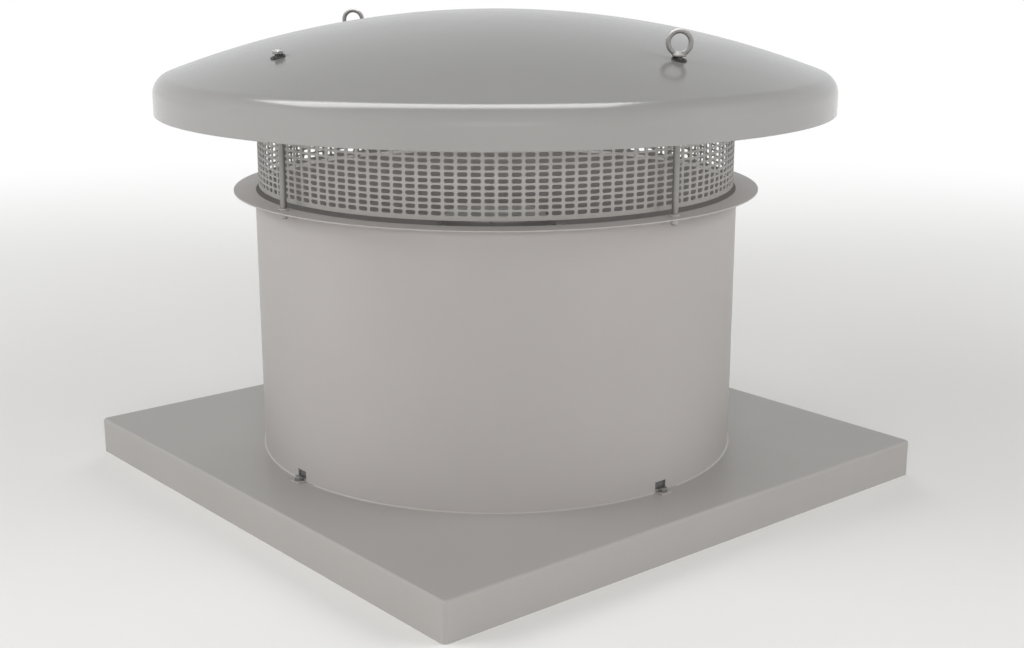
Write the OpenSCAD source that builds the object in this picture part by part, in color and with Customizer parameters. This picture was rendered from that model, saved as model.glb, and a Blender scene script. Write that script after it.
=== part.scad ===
// Roof exhaust fan: square base, round casing, axial impeller on a vertical motor,
// guard round the outlet and a rain dome on four tie rods.
// Millimetres, +Z up. Origin at the centre of the base, level with the lower edge of its skirt.

/* [Base] */
// Side of the square base
base_side = 800; // [780:5:900]
// Height of the base over its turned-down skirt
base_h = 49; // [40:1:70]
// Sheet thickness of the base
base_t = 2; // [1.5:0.5:3]
// Outer radius of the base's folded edges
base_bend = 4; // [3.5:0.5:5]
// Outer radius of the base's upright corners
base_corner_r = 6; // [5.5:0.5:9]
// Width of the lip that the inlet opening leaves inside the casing
inlet_lip = 10; // [6:1:20]
// Width of the seal strip under the base
strip_w = 30; // [20:1:36]
// Thickness of the seal strip under the base
strip_t = 6; // [5:0.5:10]
// Gap between the skirt and the seal strip
strip_gap = 8; // [4:1:12]

/* [Casing] */
// Inside diameter of the casing
casing_d = 630; // [600:5:650]
// Sheet thickness of the casing
casing_t = 1.5; // [1:0.5:2.5]
// Height of the casing above the base
casing_h = 348; // [345:1:420]
// Width of the casing's top flange
flange_w = 29; // [27:1:36]
// Outer radius of the bend between casing and flange
flange_bend = 2.5; // [2:0.5:5]
// Width of each foot lug and of the window it is folded out of
lug_w = 18; // [16:1:40]
// Length of each foot lug
lug_l = 12; // [12:0.5:18]
// Size of the sealant bead along the casing's foot
bead = 4; // [2:0.5:6]

/* [Dome] */
// Diameter of the rain dome
dome_d = 881; // [840:1:960]
// Height of the dome from its lower edge to its top
dome_rise = 125; // [110:1:150]
// Height of the dome's straight skirt
dome_skirt = 25; // [15:1:35]
// Radius of the rounded edge above the dome's skirt
dome_edge_r = 25; // [15:1:35]
// Sheet thickness of the dome
dome_t = 1.5; // [1:0.5:3]
// Height of the outlet between the casing's flange and the dome's lower edge
outlet_h = 100; // [80:1:130]

/* [Tie rods] */
// Diameter of the tie rods
rod_d = 8; // [6:1:10]
// Distance of the tie rods from the casing's outside
rod_offset = 13.5; // [12.5:0.5:16]
// Length of the tie rods below the flange's top
rod_tail = 12; // [10:1:20]
// Outside diameter of the lifting eyes
eye_d = 32; // [30:1:40]
// Thickness of the lifting eyes' bar
eye_bar = 6; // [5:0.5:8]
// Turn of the lifting eyes' hole from the radial direction, in degrees
eye_turn = -42; // [-90:1:90]
// Thickness of the dome's rubber washers
rubber_t = 1.5; // [1:0.25:3]
// Outside diameter of the dome's rubber washers
rubber_d = 18; // [16:1:22]

/* [Guard] */
// Radial gap between the casing and the guard
guard_gap = 1.8; // [1.5:0.1:3]
// Thickness of each layer of the guard
guard_t = 1.2; // [0.8:0.1:1.5]
// Number of slots round the guard
guard_cols = 128; // [100:1:140]
// Height pitch of the guard's rows
row_pitch = 7.5; // [6:0.5:10]
// Width of the upright bars between slots
bar_w = 3.7; // [3:0.1:5]
// Height of the hoops between rows
hoop_h = 2.4; // [2:0.1:3]
// Height of the open gap between the flange and the guard
guard_lift = 3.5; // [2.5:0.5:6]
// Plain height of the guard below its first row of slots
guard_margin = 5.5; // [4:0.5:9]
// Least plain height of the guard above its last row of slots
guard_head = 9; // [9:0.5:14]
// Width of the clips that hang the guard from the dome
clip_w = 24; // [16:1:40]
// Height of the clips' leg against the guard, below the guard's upper edge
clip_h = 9; // [6:0.5:9]
// Length of the clips' leg under the dome
clip_leg = 12; // [8:1:20]

/* [Impeller] */
// Number of blades
blade_count = 6; // [6:1:6]
// Gap between the blade tips and the casing
tip_gap = 6; // [4:0.5:12]
// Chord of a blade at its root
root_chord = 120; // [90:1:125]
// Chord of a blade at its tip, as a share of the root chord
tip_taper = 0.8; // [0.6:0.05:1]
// Pitch angle of a blade at its root, in degrees
root_pitch = 34; // [25:1:36]
// Twist of a blade from root to tip, in degrees
blade_twist = 13; // [5:1:16]
// Greatest thickness of a blade at its root
blade_t = 9; // [6:0.5:12]
// Camber height of a blade at its root
blade_camber = 9; // [4:0.5:12]
// Diameter of the hub
hub_d = 190; // [180:1:210]
// Height of the hub
hub_h = 60; // [54:1:66]
// Distance from the middle of the hub to the underside of the motor support
hub_drop = 65; // [62:1:75]
// Diameter of a blade's round shank
shank_d = 26; // [20:1:28]
// Diameter of the collar on a blade's shank
shank_collar_d = 36; // [32:1:38]
// Number of bolts that clamp the hub halves
hub_bolts_n = 6; // [6:1:6]
// Thread of the bolts that clamp the hub halves
hub_bolt_d = 8; // [6:1:8]

/* [Motor] */
// Height of the motor support's underside above the base
support_rise = 151; // [146:1:165]
// Thickness of the motor support's plate
support_t = 6; // [5:0.5:10]
// Height of the motor support's arms
arm_h = 40; // [30:1:50]
// Thickness of the motor support's arms
arm_t = 5; // [4:0.5:8]
// Diameter of the motor's mounting flange
motor_flange_d = 200; // [196:1:210]
// Thickness of the motor's mounting flange
motor_flange_t = 10; // [8:0.5:14]
// Bolt circle of the motor's mounting flange
motor_pcd = 165; // [162:1:170]
// Thread of the motor's mounting bolts
motor_bolt_d = 10; // [8:1:12]
// Spigot diameter under the motor's mounting flange
spigot_d = 130; // [120:1:134]
// Inside diameter of the motor frame
frame_d = 132; // [130:1:140]
// Wall thickness of the motor frame
frame_t = 5.5; // [5:0.5:8]
// Length of the motor frame
frame_l = 122; // [118:1:135]
// Height of the cooling fins
fin_h = 9; // [6:0.5:12]
// Thickness of the cooling fins
fin_t = 3; // [2:0.5:4]
// Number of cooling fin places round the frame
fin_count = 28; // [20:4:36]
// Length of the stator core
core_l = 80; // [70:1:84]
// Bore of the stator core
core_bore = 80; // [76:1:84]
// Air gap between rotor and stator
air_gap = 0.5; // [0.4:0.1:1]
// Diameter of the shaft at the hub
shaft_d = 19; // [16:0.5:19]
// Diameter of the shaft inside the rotor
rotor_shaft_d = 26; // [24:1:28]
// Width of the shaft key
key_w = 6; // [4:0.5:6]

/* [Ball bearings] */
// Bore of the ball bearings
bearing_bore = 20; // [20:0.5:20.5]
// Outside diameter of the ball bearings
bearing_od = 47; // [46.5:0.5:48]
// Width of the ball bearings
bearing_w = 14; // [13:0.5:15]
// Diameter of the balls
ball_d = 7.94; // [7.5:0.02:8]
// Number of balls in a bearing
ball_count = 8; // [6:1:8]

/* [Terminal box] */
// Width of the terminal box
box_w = 80; // [70:1:90]
// Height of the terminal box
box_h = 76; // [70:1:80]
// Depth of the terminal box
box_depth = 40; // [36:1:50]
// Wall thickness of the terminal box
box_t = 3; // [2:0.5:4]
// Thickness of the terminal box lid
lid_t = 4; // [3:0.5:5]
// Thickness of the lid's gasket
lid_gasket_t = 1.5; // [1:0.25:2]
// Thread of the lid's screws
lid_screw_d = 4; // [3:0.5:4]
// Thread diameter of the cable gland
gland_d = 20; // [16:1:24]
// Diameter of the cable that the gland takes
cable_d = 10; // [6:0.5:12]

/* [Fits] */
// Gap left between neighbouring pieces that are fixed together
seat = 0.05; // [0.02:0.01:0.1]
// Added to a thread's diameter for its clearance hole
hole_clear = 0.6; // [0.4:0.1:1]
// Added to a rod's diameter for the hole of a sloping washer
slope_clear = 1.6; // [1.5:0.1:2]
// Running gap of the balls, cages and shaft seal
run_gap = 0.1; // [0.08:0.01:0.15]

/* [Hidden] */
$fn = 96;
blade_names = [for (i = [1:blade_count]) str("blade_", i)];

// Colours of the finishes
sheet_grey = "lightgray";
zinc = "silver";
rubber_black = "dimgray";
cast_grey = "gray";
copper = "peru";

// Casing and base
casing_r = casing_d / 2;
casing_or = casing_r + casing_t;
casing_top = base_h + casing_h;
flange_r = casing_or + flange_w;
plate_under = base_h - base_t;
inlet_r = casing_r - inlet_lip;
lug_top = base_h + casing_t;
foot_r = casing_or + lug_l / 2 + seat;
foot_d = 6;
lug_count = 4;
strip_half = base_side / 2 - base_t - strip_gap;
past = 1;

// Dome: a spherical cap that meets the edge radius without a kink
dome_r = dome_d / 2;
dome_z0 = casing_top + outlet_h;
edge_c = [dome_r - dome_edge_r, dome_z0 + dome_skirt];
crown_h = dome_rise - dome_skirt;
cap_r = (edge_c.x * edge_c.x + crown_h * crown_h - dome_edge_r * dome_edge_r)
    / (2 * (crown_h - dome_edge_r));
cap_c = [0, dome_z0 + dome_rise - cap_r];
edge_end = atan2(edge_c.y - cap_c.y, edge_c.x);
cap_steps = 24;
bend_steps = 8;
fold_steps = 4;
corner_signs = [[1, 1], [-1, 1], [-1, -1], [1, -1]];

// Tie rods
rod_r = casing_or + rod_offset;
rod_holes = rod_d + hole_clear;
slope = asin(rod_r / cap_r);
dome_at_rod = dome_height(rod_r);
thin_nut_h = 0.5 * rod_d;
rod_foot = casing_top - rod_tail;
rivet_body_d = rod_d + 3;
rivet_head_d = rod_d + 5;
rivet_head_t = 0.8;
under_washer_t = washer_t(rod_d);
// Middles of the sloping washers, along the dome's normal from its outer face
rubber_mid = seat + rubber_t / 2;
under_mid = -dome_t - 2 * seat - under_washer_t / 2;
// Upper edge of the sloping rubber washer, where the eyes and top nuts sit
rod_seat_z = dome_at_rod + rubber_mid / cos(slope) + rubber_t / 2 * cos(slope)
    + rubber_d / 2 * sin(slope) + seat;
rod_end_z = rod_seat_z + thin_nut_h + rod_d / 8;
// Lower edge of the sloping washer under the dome, where the under nuts sit
under_seat_z = dome_at_rod + under_mid / cos(slope) - under_washer_t / 2 * cos(slope)
    - washer_od(rod_d) / 2 * sin(slope) - seat;

// Guard
guard_r = casing_r - guard_gap;
guard_z0 = casing_top + guard_lift;
guard_z1 = dome_height(guard_r) - dome_t - 3 * dome_t;
slot_z0 = guard_z0 + guard_margin;
guard_rows = floor((guard_z1 - guard_head + hoop_h - slot_z0) / row_pitch);
clip_t = dome_t;
clip_count = 4;

// Motor support and impeller heights
support_z = base_h + support_rise;
support_top = support_z + support_t;
support_plate_r = motor_flange_d / 2 + 18;
arm_z = support_z - (arm_h - support_t) / 4;
arm_count = 4;
// Depth of the slots in the plate's rim that take the arms
arm_slot = 12;
foot_pad_w = 60;
foot_pad_t = 3;
foot_pad_r = casing_r - seat - foot_pad_t;
hub_z = support_z - hub_drop;
hub_r = hub_d / 2;
hub_z0 = hub_z - hub_h / 2;
hub_rim_t = 25;
hub_web_t = 12;
hub_boss_r = 32;
hub_bolt_r = 48;
hub_bolt_turn = 180 / hub_bolts_n;
// Wall left between a shank's end and the inside of the rim
shank_floor = 3;
shank_r0 = hub_r - hub_rim_t + shank_floor;
collar_l = 8;
collar_r0 = hub_r - hub_rim_t / 2 - collar_l / 2;
blade_r0 = hub_r + 3;
tip_chord = root_chord * tip_taper;
tip_r = casing_r - tip_gap;
blade_l = sqrt(tip_r * tip_r - tip_chord * tip_chord / 4) - blade_r0;
profile_steps = 10;
twist_steps = 8;

// Motor
flange_top = support_top + motor_flange_t;
shield_wall = 8;
frame_z0 = flange_top + shield_wall;
frame_z1 = frame_z0 + frame_l;
frame_r = frame_d / 2;
frame_or = frame_r + frame_t;
spigot_l = 3.5;
register_l = 6;
register_t = 8;
housing_r = bearing_od / 2 + 7;
shaft_hole_r = shaft_d / 2 + 2;
bearing_low_z = flange_top + 4;
bearing_high_z = frame_z1 - bearing_w + 2;
housing_lap = 2;
cap_t = 4;
core_mid = (frame_z0 + frame_z1) / 2;
core_z0 = core_mid - core_l / 2;
core_z1 = core_mid + core_l / 2;
core_r = frame_r - seat;
winding_l = 9;
winding_r0 = core_bore / 2 + 5;
winding_r1 = core_r - 5;
rotor_r = core_bore / 2 - air_gap;
end_ring_l = 6;
end_ring_t = 8;
shield_screw_d = 3;
shield_screw_r = frame_r + frame_t / 2;
shield_screw_l = 20;
shield_screw_n = 4;

// Shaft
shaft_end_z = hub_z0 + 3;
seat_step_low = bearing_low_z - 1;
core_step_low = bearing_low_z + bearing_w;
core_step_high = bearing_high_z;
shaft_top = bearing_high_z + bearing_w;
shaft_bolt_d = 8;
shaft_bolt_l = 22;
key_l = hub_h - 20;
key_r0 = shaft_d / 2 - key_w * 0.55;
key_r1 = key_r0 + key_w;
seal_l = 6;
seal_w = 7;
retaining_t = 5;
retaining_r = 20;

// Ball bearings
ball_r = ball_d / 2;
pitch_r = (bearing_bore + bearing_od) / 4;
land = 0.6 * ball_r;
track_r = ball_r + run_gap;
cage_half = ball_r + 1;
cage_t = 0.75 * ball_r;
bearing_zs = [bearing_low_z, bearing_high_z];

// Terminal box, on the +Y side of the motor
box_y0 = frame_or + fin_h + 3;
box_y1 = box_y0 + box_depth;
box_z0 = core_mid - box_h / 2;
pad_w = box_w - 16;
pad_h = box_h - 12;
lid_y0 = box_y1 + lid_gasket_t;
lid_y1 = lid_y0 + lid_t;
boss_inset = box_t + lid_screw_d;
gland_y = (box_y0 + box_y1) / 2;
gland_x = -box_w / 2;
gland_af = gland_d * 1.25;
gland_collar_l = 6;
gland_body_l = 14;
gland_cap_l = 12;
gland_seal_t = 1.5;
block_d = [44, 16, 30];

// Sizes of bolts, nuts and washers from their thread
function across_flats(d) = 1.5 * d + 1;
function nut_h(d) = 0.8 * d;
function head_h(d) = 0.65 * d;
function washer_od(d) = 2 * d;
function washer_t(d) = 0.2 * d;
function arc(c, r, a0, a1, n) = [for (i = [0:n]) c + r * [cos(a0 + (a1 - a0) * i / n),
                                                        sin(a0 + (a1 - a0) * i / n)]];
// Height of the dome's outer face at a radius under the cap
function dome_height(r) = cap_c.y + sqrt(cap_r * cap_r - r * r);
function under_dome(r) = cap_c.y + sqrt(pow(cap_r - dome_t, 2) - r * r) - 2 * seat;

module around(n, r, a0 = 0) {
    for (i = [0:n - 1])
        rotate([0, 0, a0 + 360 * i / n]) translate([r, 0, 0]) children();
}

module tube(r_in, r_out, h) {
    difference() {
        cylinder(r = r_out, h = h);
        translate([0, 0, -past]) cylinder(r = r_in, h = h + 2 * past);
    }
}

module hex(af, h) cylinder(d = af / cos(30), h = h, $fn = 6);

module hex_nut(d, h) {
    difference() {
        hex(across_flats(d), h);
        translate([0, 0, -past]) cylinder(d = d + 2 * seat, h = h + 2 * past);
    }
}

module washer(d, od, t) tube((d + hole_clear) / 2, od / 2, t);

// Bolt hanging from z = 0, head above
module bolt(d, l) {
    hex(across_flats(d), head_h(d));
    translate([0, 0, -l]) cylinder(d = d, h = l + seat);
}

// Round-headed screw hanging from z = 0
module screw(d, l) {
    cylinder(d = 1.8 * d, h = 0.7 * d);
    translate([0, 0, -l]) cylinder(d = d, h = l + seat);
}

// Washers square to the sloping dome, each centred on its tie rod
module sloping_washers(mid, od, t) {
    around(4, rod_r) translate([0, 0, dome_at_rod]) rotate([0, slope, 0])
        translate([-mid * tan(slope), 0, mid - t / 2]) tube((rod_d + slope_clear) / 2, od / 2, t);
}

// Base

module pan(side, h, bend, corner) {
    s = side / 2;
    edge = concat([[-s, 0], [s, 0]], arc([s - bend, h - bend], bend, 0, 90, fold_steps),
                  arc([bend - s, h - bend], bend, 90, 180, fold_steps));
    plan = [for (i = [0:3])
        each arc((s - corner) * corner_signs[i], corner, 90 * i, 90 * i + 90, fold_steps)];
    intersection() {
        rotate([90, 0, 90]) linear_extrude(side, center = true) polygon(edge);
        rotate([90, 0, 0]) linear_extrude(side, center = true) polygon(edge);
        linear_extrude(h) polygon(plan);
    }
}

module base_plate() {
    inner = base_side - 2 * base_t;
    color(sheet_grey) difference() {
        pan(base_side, base_h, base_bend, base_corner_r);
        translate([0, 0, -past]) pan(inner, plate_under + past, base_bend - base_t, base_corner_r - base_t);
        cylinder(r = inlet_r, h = base_h + past);
        around(lug_count, foot_r) cylinder(d = foot_d + hole_clear, h = base_h + past);
    }
}

module curb_seal() {
    inner = strip_half - strip_w;
    color(rubber_black) translate([0, 0, plate_under - strip_t]) linear_extrude(strip_t) difference() {
        square(2 * strip_half, center = true);
        square(2 * inner, center = true);
    }
}

// Casing

module casing() {
    bend_c = [casing_r + flange_bend, casing_top - flange_bend];
    wall = concat([[casing_or, base_h], [casing_r, base_h]],
                  arc(bend_c, flange_bend, 180, 90, bend_steps),
                  [[flange_r, casing_top], [flange_r, casing_top - casing_t]],
                  arc(bend_c, flange_bend - casing_t, 90, 180, bend_steps));
    color(sheet_grey) difference() {
        union() {
            difference() {
                rotate_extrude() polygon(wall);
                around(lug_count, casing_r) translate([-lug_l, -lug_w / 2, lug_top])
                    cube([2 * lug_l, lug_w, lug_l]);
            }
            around(lug_count, casing_r + casing_t / 2) translate([0, -lug_w / 2, base_h])
                cube([lug_l + casing_t / 2, lug_w, casing_t]);
        }
        around(lug_count, foot_r) translate([0, 0, base_h - past])
            cylinder(d = foot_d + hole_clear, h = casing_t + 2 * past);
        around(4, rod_r) translate([0, 0, casing_top - casing_t - past])
            cylinder(d = rivet_body_d + 2 * seat, h = casing_t + 2 * past);
    }
}

module foot_sealant() {
    r0 = casing_or + seat;
    color(sheet_grey) difference() {
        rotate_extrude() polygon([[r0, base_h], [r0 + bead, base_h], [r0, base_h + bead]]);
        around(lug_count, casing_or) translate([-bead, -lug_w / 2 - seat, base_h - past])
            cube([2 * lug_l, lug_w + 2 * seat, bead + 2 * past]);
    }
}

module foot_bolts() {
    head_z = lug_top + washer_t(foot_d);
    l = head_z - plate_under + nut_h(foot_d) + base_t / 2;
    color(zinc) around(lug_count, foot_r) translate([0, 0, head_z]) bolt(foot_d, l);
}

module foot_washers() {
    color(zinc) around(lug_count, foot_r) translate([0, 0, lug_top])
        washer(foot_d, washer_od(foot_d), washer_t(foot_d));
}

module foot_nuts() {
    color(zinc) around(lug_count, foot_r) translate([0, 0, plate_under - nut_h(foot_d)])
        hex_nut(foot_d, nut_h(foot_d));
}

// Tie rods

module rivet_nuts() {
    body_l = rod_tail - 2;
    color(zinc) around(4, rod_r) difference() {
        union() {
            translate([0, 0, casing_top - body_l]) cylinder(d = rivet_body_d, h = body_l);
            translate([0, 0, casing_top]) cylinder(d = rivet_head_d, h = rivet_head_t);
        }
        translate([0, 0, casing_top - body_l - past]) cylinder(d = rod_d + 2 * seat, h = body_l + 3 * past);
    }
}

module eye_rods() {
    ring_r = (eye_d - eye_bar) / 2;
    neck_h = eye_bar;
    color(zinc) around(2, rod_r) {
        translate([0, 0, rod_foot]) cylinder(d = rod_d, h = rod_seat_z - rod_foot + seat);
        translate([0, 0, rod_seat_z]) cylinder(d1 = eye_d / 2, d2 = eye_bar * 1.5, h = neck_h);
        translate([0, 0, rod_seat_z + eye_d / 2]) rotate([90, 0, eye_turn + 90])
            rotate_extrude() translate([ring_r, 0]) circle(d = eye_bar);
    }
}

module plain_rods() {
    color(zinc) around(2, rod_r, 90) translate([0, 0, rod_foot])
        cylinder(d = rod_d, h = rod_end_z - rod_foot);
}

// Dome

module dome() {
    outer = concat([[dome_r, dome_z0]], arc(edge_c, dome_edge_r, 0, edge_end, bend_steps),
                   [for (i = [1:cap_steps]) cap_c + cap_r * cap_dir(i)]);
    inner = concat([for (i = [cap_steps:-1:1]) cap_c + (cap_r - dome_t) * cap_dir(i)],
                   arc(edge_c, dome_edge_r - dome_t, edge_end, 0, bend_steps), [[dome_r - dome_t, dome_z0]]);
    color(sheet_grey) difference() {
        rotate_extrude() polygon(concat(outer, inner));
        around(4, rod_r) translate([0, 0, dome_z0]) cylinder(d = rod_holes, h = dome_rise);
    }
}

// Direction of the cap's profile, from the edge to the top
function cap_dir(i) = let (a = edge_end + (90 - edge_end) * i / cap_steps)
    i == cap_steps ? [0, 1] : [cos(a), sin(a)];

module rubber_washers() {
    color(rubber_black) sloping_washers(rubber_mid, rubber_d, rubber_t);
}

module dome_top_nuts() {
    color(zinc) around(2, rod_r, 90) translate([0, 0, rod_seat_z]) hex_nut(rod_d, thin_nut_h);
}

module dome_under_washers() {
    color(zinc) sloping_washers(under_mid, washer_od(rod_d), under_washer_t);
}

module dome_under_nuts() {
    color(zinc) around(4, rod_r) translate([0, 0, under_seat_z - nut_h(rod_d)]) hex_nut(rod_d, nut_h(rod_d));
}

// Guard: upright bars outside, hoops inside

module guard_bars() {
    color(sheet_grey) around(guard_cols, guard_r - guard_t) translate([0, -bar_w / 2, guard_z0])
        cube([guard_t, bar_w, guard_z1 - guard_z0]);
}

module guard_hoop(z0, z1) {
    hoop_or = guard_r - guard_t - seat;
    translate([0, 0, z0]) tube(hoop_or - guard_t, hoop_or, z1 - z0);
}

module guard_hoops() {
    color(sheet_grey) {
        guard_hoop(guard_z0, slot_z0);
        for (i = [1:guard_rows - 1])
            guard_hoop(slot_z0 + i * row_pitch - hoop_h, slot_z0 + i * row_pitch);
        guard_hoop(slot_z0 + guard_rows * row_pitch - hoop_h, guard_z1);
    }
}

module guard_clips() {
    r2 = guard_r - 2 * guard_t - 2 * seat;
    r1 = r2 - clip_t;
    r0 = r2 - clip_leg;
    foot = guard_z1 - clip_h;
    profile = [[r2, foot], [r2, under_dome(r2)], [r0, under_dome(r0)], [r0, under_dome(r0) - clip_t],
               [r1, under_dome(r1) - clip_t], [r1, foot]];
    color(zinc) intersection() {
        rotate_extrude() polygon(profile);
        around(clip_count, 0, 45) translate([0, -clip_w / 2, 0]) cube([casing_r, clip_w, cap_r]);
    }
}

// Motor support

module motor_support() {
    color(sheet_grey) translate([0, 0, support_z]) difference() {
        cylinder(r = support_plate_r, h = support_t);
        translate([0, 0, -past]) cylinder(d = spigot_d + 4 * seat, h = support_t + 2 * past);
        around(4, motor_pcd / 2) translate([0, 0, -past])
            cylinder(d = motor_bolt_d + hole_clear, h = support_t + 2 * past);
        around(arm_count, support_plate_r - arm_slot, 45) translate([0, -arm_t / 2 - seat, -past])
            cube([2 * arm_slot, arm_t + 2 * seat, support_t + 2 * past]);
    }
}

module support_arms() {
    r0 = support_plate_r - arm_slot + seat;
    color(sheet_grey) around(arm_count, r0, 45) translate([0, -arm_t / 2, arm_z])
        cube([foot_pad_r - seat - r0, arm_t, arm_h]);
}

module support_pads() {
    color(sheet_grey) intersection() {
        translate([0, 0, arm_z]) tube(foot_pad_r, casing_r - seat, arm_h);
        around(arm_count, 0, 45) translate([0, -foot_pad_w / 2, arm_z - past])
            cube([casing_r, foot_pad_w, arm_h + 2 * past]);
    }
}

module motor_bolts() {
    head_z = flange_top + washer_t(motor_bolt_d);
    l = head_z - support_z + nut_h(motor_bolt_d) + washer_t(motor_bolt_d);
    color(zinc) around(4, motor_pcd / 2) translate([0, 0, head_z]) bolt(motor_bolt_d, l);
}

module motor_washers() {
    color(zinc) around(4, motor_pcd / 2) translate([0, 0, flange_top])
        washer(motor_bolt_d, washer_od(motor_bolt_d), washer_t(motor_bolt_d));
}

module motor_nuts() {
    color(zinc) around(4, motor_pcd / 2) translate([0, 0, support_z - nut_h(motor_bolt_d)])
        hex_nut(motor_bolt_d, nut_h(motor_bolt_d));
}

// Motor

module drive_end_shield() {
    seat_r = bearing_od / 2 + seat;
    register_r = frame_r - seat;
    profile = [[shaft_hole_r, support_top - spigot_l], [spigot_d / 2, support_top - spigot_l],
               [spigot_d / 2, support_top], [motor_flange_d / 2, support_top],
               [motor_flange_d / 2, flange_top], [frame_or, flange_top], [frame_or, frame_z0],
               [register_r, frame_z0], [register_r, frame_z0 + register_l],
               [register_r - register_t, frame_z0 + register_l], [register_r - register_t, frame_z0],
               [housing_r, frame_z0], [housing_r, bearing_low_z + bearing_w + housing_lap],
               [seat_r, bearing_low_z + bearing_w + housing_lap], [seat_r, bearing_low_z],
               [shaft_hole_r, bearing_low_z]];
    color(cast_grey) difference() {
        rotate_extrude() polygon(profile);
        around(4, motor_pcd / 2) translate([0, 0, support_top - past])
            cylinder(d = motor_bolt_d + hole_clear, h = motor_flange_t + 2 * past);
    }
}

module motor_frame() {
    color(cast_grey) difference() {
        union() {
            translate([0, 0, frame_z0]) tube(frame_r, frame_or, frame_l);
            around(fin_count, frame_or - fin_t, 180 / fin_count) translate([0, -fin_t / 2, frame_z0 + fin_t])
                cube([fin_h + fin_t, fin_t, frame_l - 2 * fin_t]);
            translate([-pad_w / 2, frame_r + frame_t / 2, core_mid - pad_h / 2])
                cube([pad_w, box_y0 - frame_r - frame_t / 2, pad_h]);
        }
        translate([0, 0, frame_z0 - past]) cylinder(r = frame_r, h = frame_l + 2 * past);
        around(shield_screw_n, shield_screw_r, 45) translate([0, 0, frame_z1 - shield_screw_l])
            cylinder(d = shield_screw_d + 2 * seat, h = shield_screw_l + past);
    }
}

module rear_end_shield() {
    seat_r = bearing_od / 2 + seat;
    register_r = frame_r - seat;
    wall_top = frame_z1 + shield_wall;
    profile = [[0, wall_top + cap_t], [housing_r, wall_top + cap_t], [housing_r + cap_t, wall_top],
               [frame_or, wall_top], [frame_or, frame_z1], [register_r, frame_z1],
               [register_r, frame_z1 - register_l], [register_r - register_t, frame_z1 - register_l],
               [register_r - register_t, frame_z1], [housing_r, frame_z1],
               [housing_r, bearing_high_z - housing_lap], [seat_r, bearing_high_z - housing_lap],
               [seat_r, bearing_high_z + bearing_w + seat], [0, bearing_high_z + bearing_w + seat]];
    color(cast_grey) difference() {
        rotate_extrude() polygon(profile);
        around(shield_screw_n, shield_screw_r, 45) translate([0, 0, frame_z1 - past])
            cylinder(d = shield_screw_d + hole_clear, h = shield_wall + 2 * past);
    }
}

module shield_screws() {
    color(zinc) around(shield_screw_n, shield_screw_r, 45) translate([0, 0, frame_z1 + shield_wall])
        screw(shield_screw_d, shield_wall + shield_screw_l - past);
}

module stator_core() {
    color(cast_grey) translate([0, 0, core_z0]) tube(core_bore / 2, core_r, core_l);
}

module stator_windings() {
    chamfer = winding_l / 3;
    profile = [[winding_r0, 0], [winding_r1, 0], [winding_r1, winding_l - chamfer],
               [winding_r1 - chamfer, winding_l], [winding_r0 + chamfer, winding_l],
               [winding_r0, winding_l - chamfer]];
    color(copper) {
        translate([0, 0, core_z1]) rotate_extrude() polygon(profile);
        translate([0, 0, core_z0]) mirror([0, 0, 1]) rotate_extrude() polygon(profile);
    }
}

// Shaft and rotor

module shaft() {
    bearing_r = bearing_bore / 2 - seat;
    profile = [[0, shaft_end_z], [shaft_d / 2, shaft_end_z], [shaft_d / 2, seat_step_low],
               [bearing_r, seat_step_low], [bearing_r, core_step_low], [rotor_shaft_d / 2, core_step_low],
               [rotor_shaft_d / 2, core_step_high], [bearing_r, core_step_high], [bearing_r, shaft_top],
               [0, shaft_top]];
    color(zinc) difference() {
        rotate_extrude() polygon(profile);
        translate([key_r0, -key_w / 2, hub_z - key_l / 2]) cube([shaft_d, key_w, key_l]);
        translate([0, 0, shaft_end_z - past]) cylinder(d = shaft_bolt_d + 2 * seat, h = shaft_bolt_l + past);
    }
}

module rotor_core() {
    ring_r1 = rotor_r - 2;
    ring_r0 = ring_r1 - end_ring_t;
    color(cast_grey) difference() {
        union() {
            translate([0, 0, core_z0]) cylinder(r = rotor_r, h = core_l);
            translate([0, 0, core_z0 - end_ring_l]) tube(ring_r0, ring_r1, core_l + 2 * end_ring_l);
        }
        translate([0, 0, core_z0 - past]) cylinder(d = rotor_shaft_d + 2 * seat, h = core_l + 2 * past);
    }
}

module ball_track() {
    translate([0, 0, bearing_w / 2]) rotate_extrude() translate([pitch_r, 0]) circle(r = track_r);
}

module bearing_outer_rings() {
    color(zinc) for (z = bearing_zs) translate([0, 0, z]) difference() {
        tube(pitch_r + land, bearing_od / 2, bearing_w);
        ball_track();
    }
}

module bearing_inner_rings() {
    color(zinc) for (z = bearing_zs) translate([0, 0, z]) difference() {
        tube(bearing_bore / 2, pitch_r - land, bearing_w);
        ball_track();
    }
}

module bearing_cages() {
    color("goldenrod") for (z = bearing_zs) translate([0, 0, z]) difference() {
        translate([0, 0, bearing_w / 2 - cage_half])
            tube(pitch_r - cage_t / 2, pitch_r + cage_t / 2, 2 * cage_half);
        around(ball_count, pitch_r - cage_t) translate([0, 0, bearing_w / 2]) rotate([0, 90, 0])
            cylinder(r = ball_r + run_gap, h = 2 * cage_t);
    }
}

module bearing_balls() {
    color(zinc) for (z = bearing_zs) around(ball_count, pitch_r)
        translate([0, 0, z + bearing_w / 2]) sphere(r = ball_r);
}

module shaft_seal() {
    r0 = shaft_d / 2 + seat;
    lip_z = support_top - spigot_l - 3 * run_gap;
    profile = [[r0, lip_z - seal_l], [r0 + seal_w - 2, lip_z - seal_l], [r0 + seal_w - 2, lip_z - seal_l / 2],
               [r0 + seal_w, lip_z], [r0 + seal_w - 2, lip_z], [r0 + seal_w / 2, lip_z - seal_l / 3],
               [r0, lip_z - seal_l / 3]];
    color(rubber_black) rotate_extrude() polygon(profile);
}

module shaft_key() {
    color(zinc) translate([key_r0 + seat, -key_w / 2 + seat, hub_z - key_l / 2 + seat])
        cube([key_w, key_w - 2 * seat, key_l - 2 * seat]);
}

// Impeller

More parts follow.
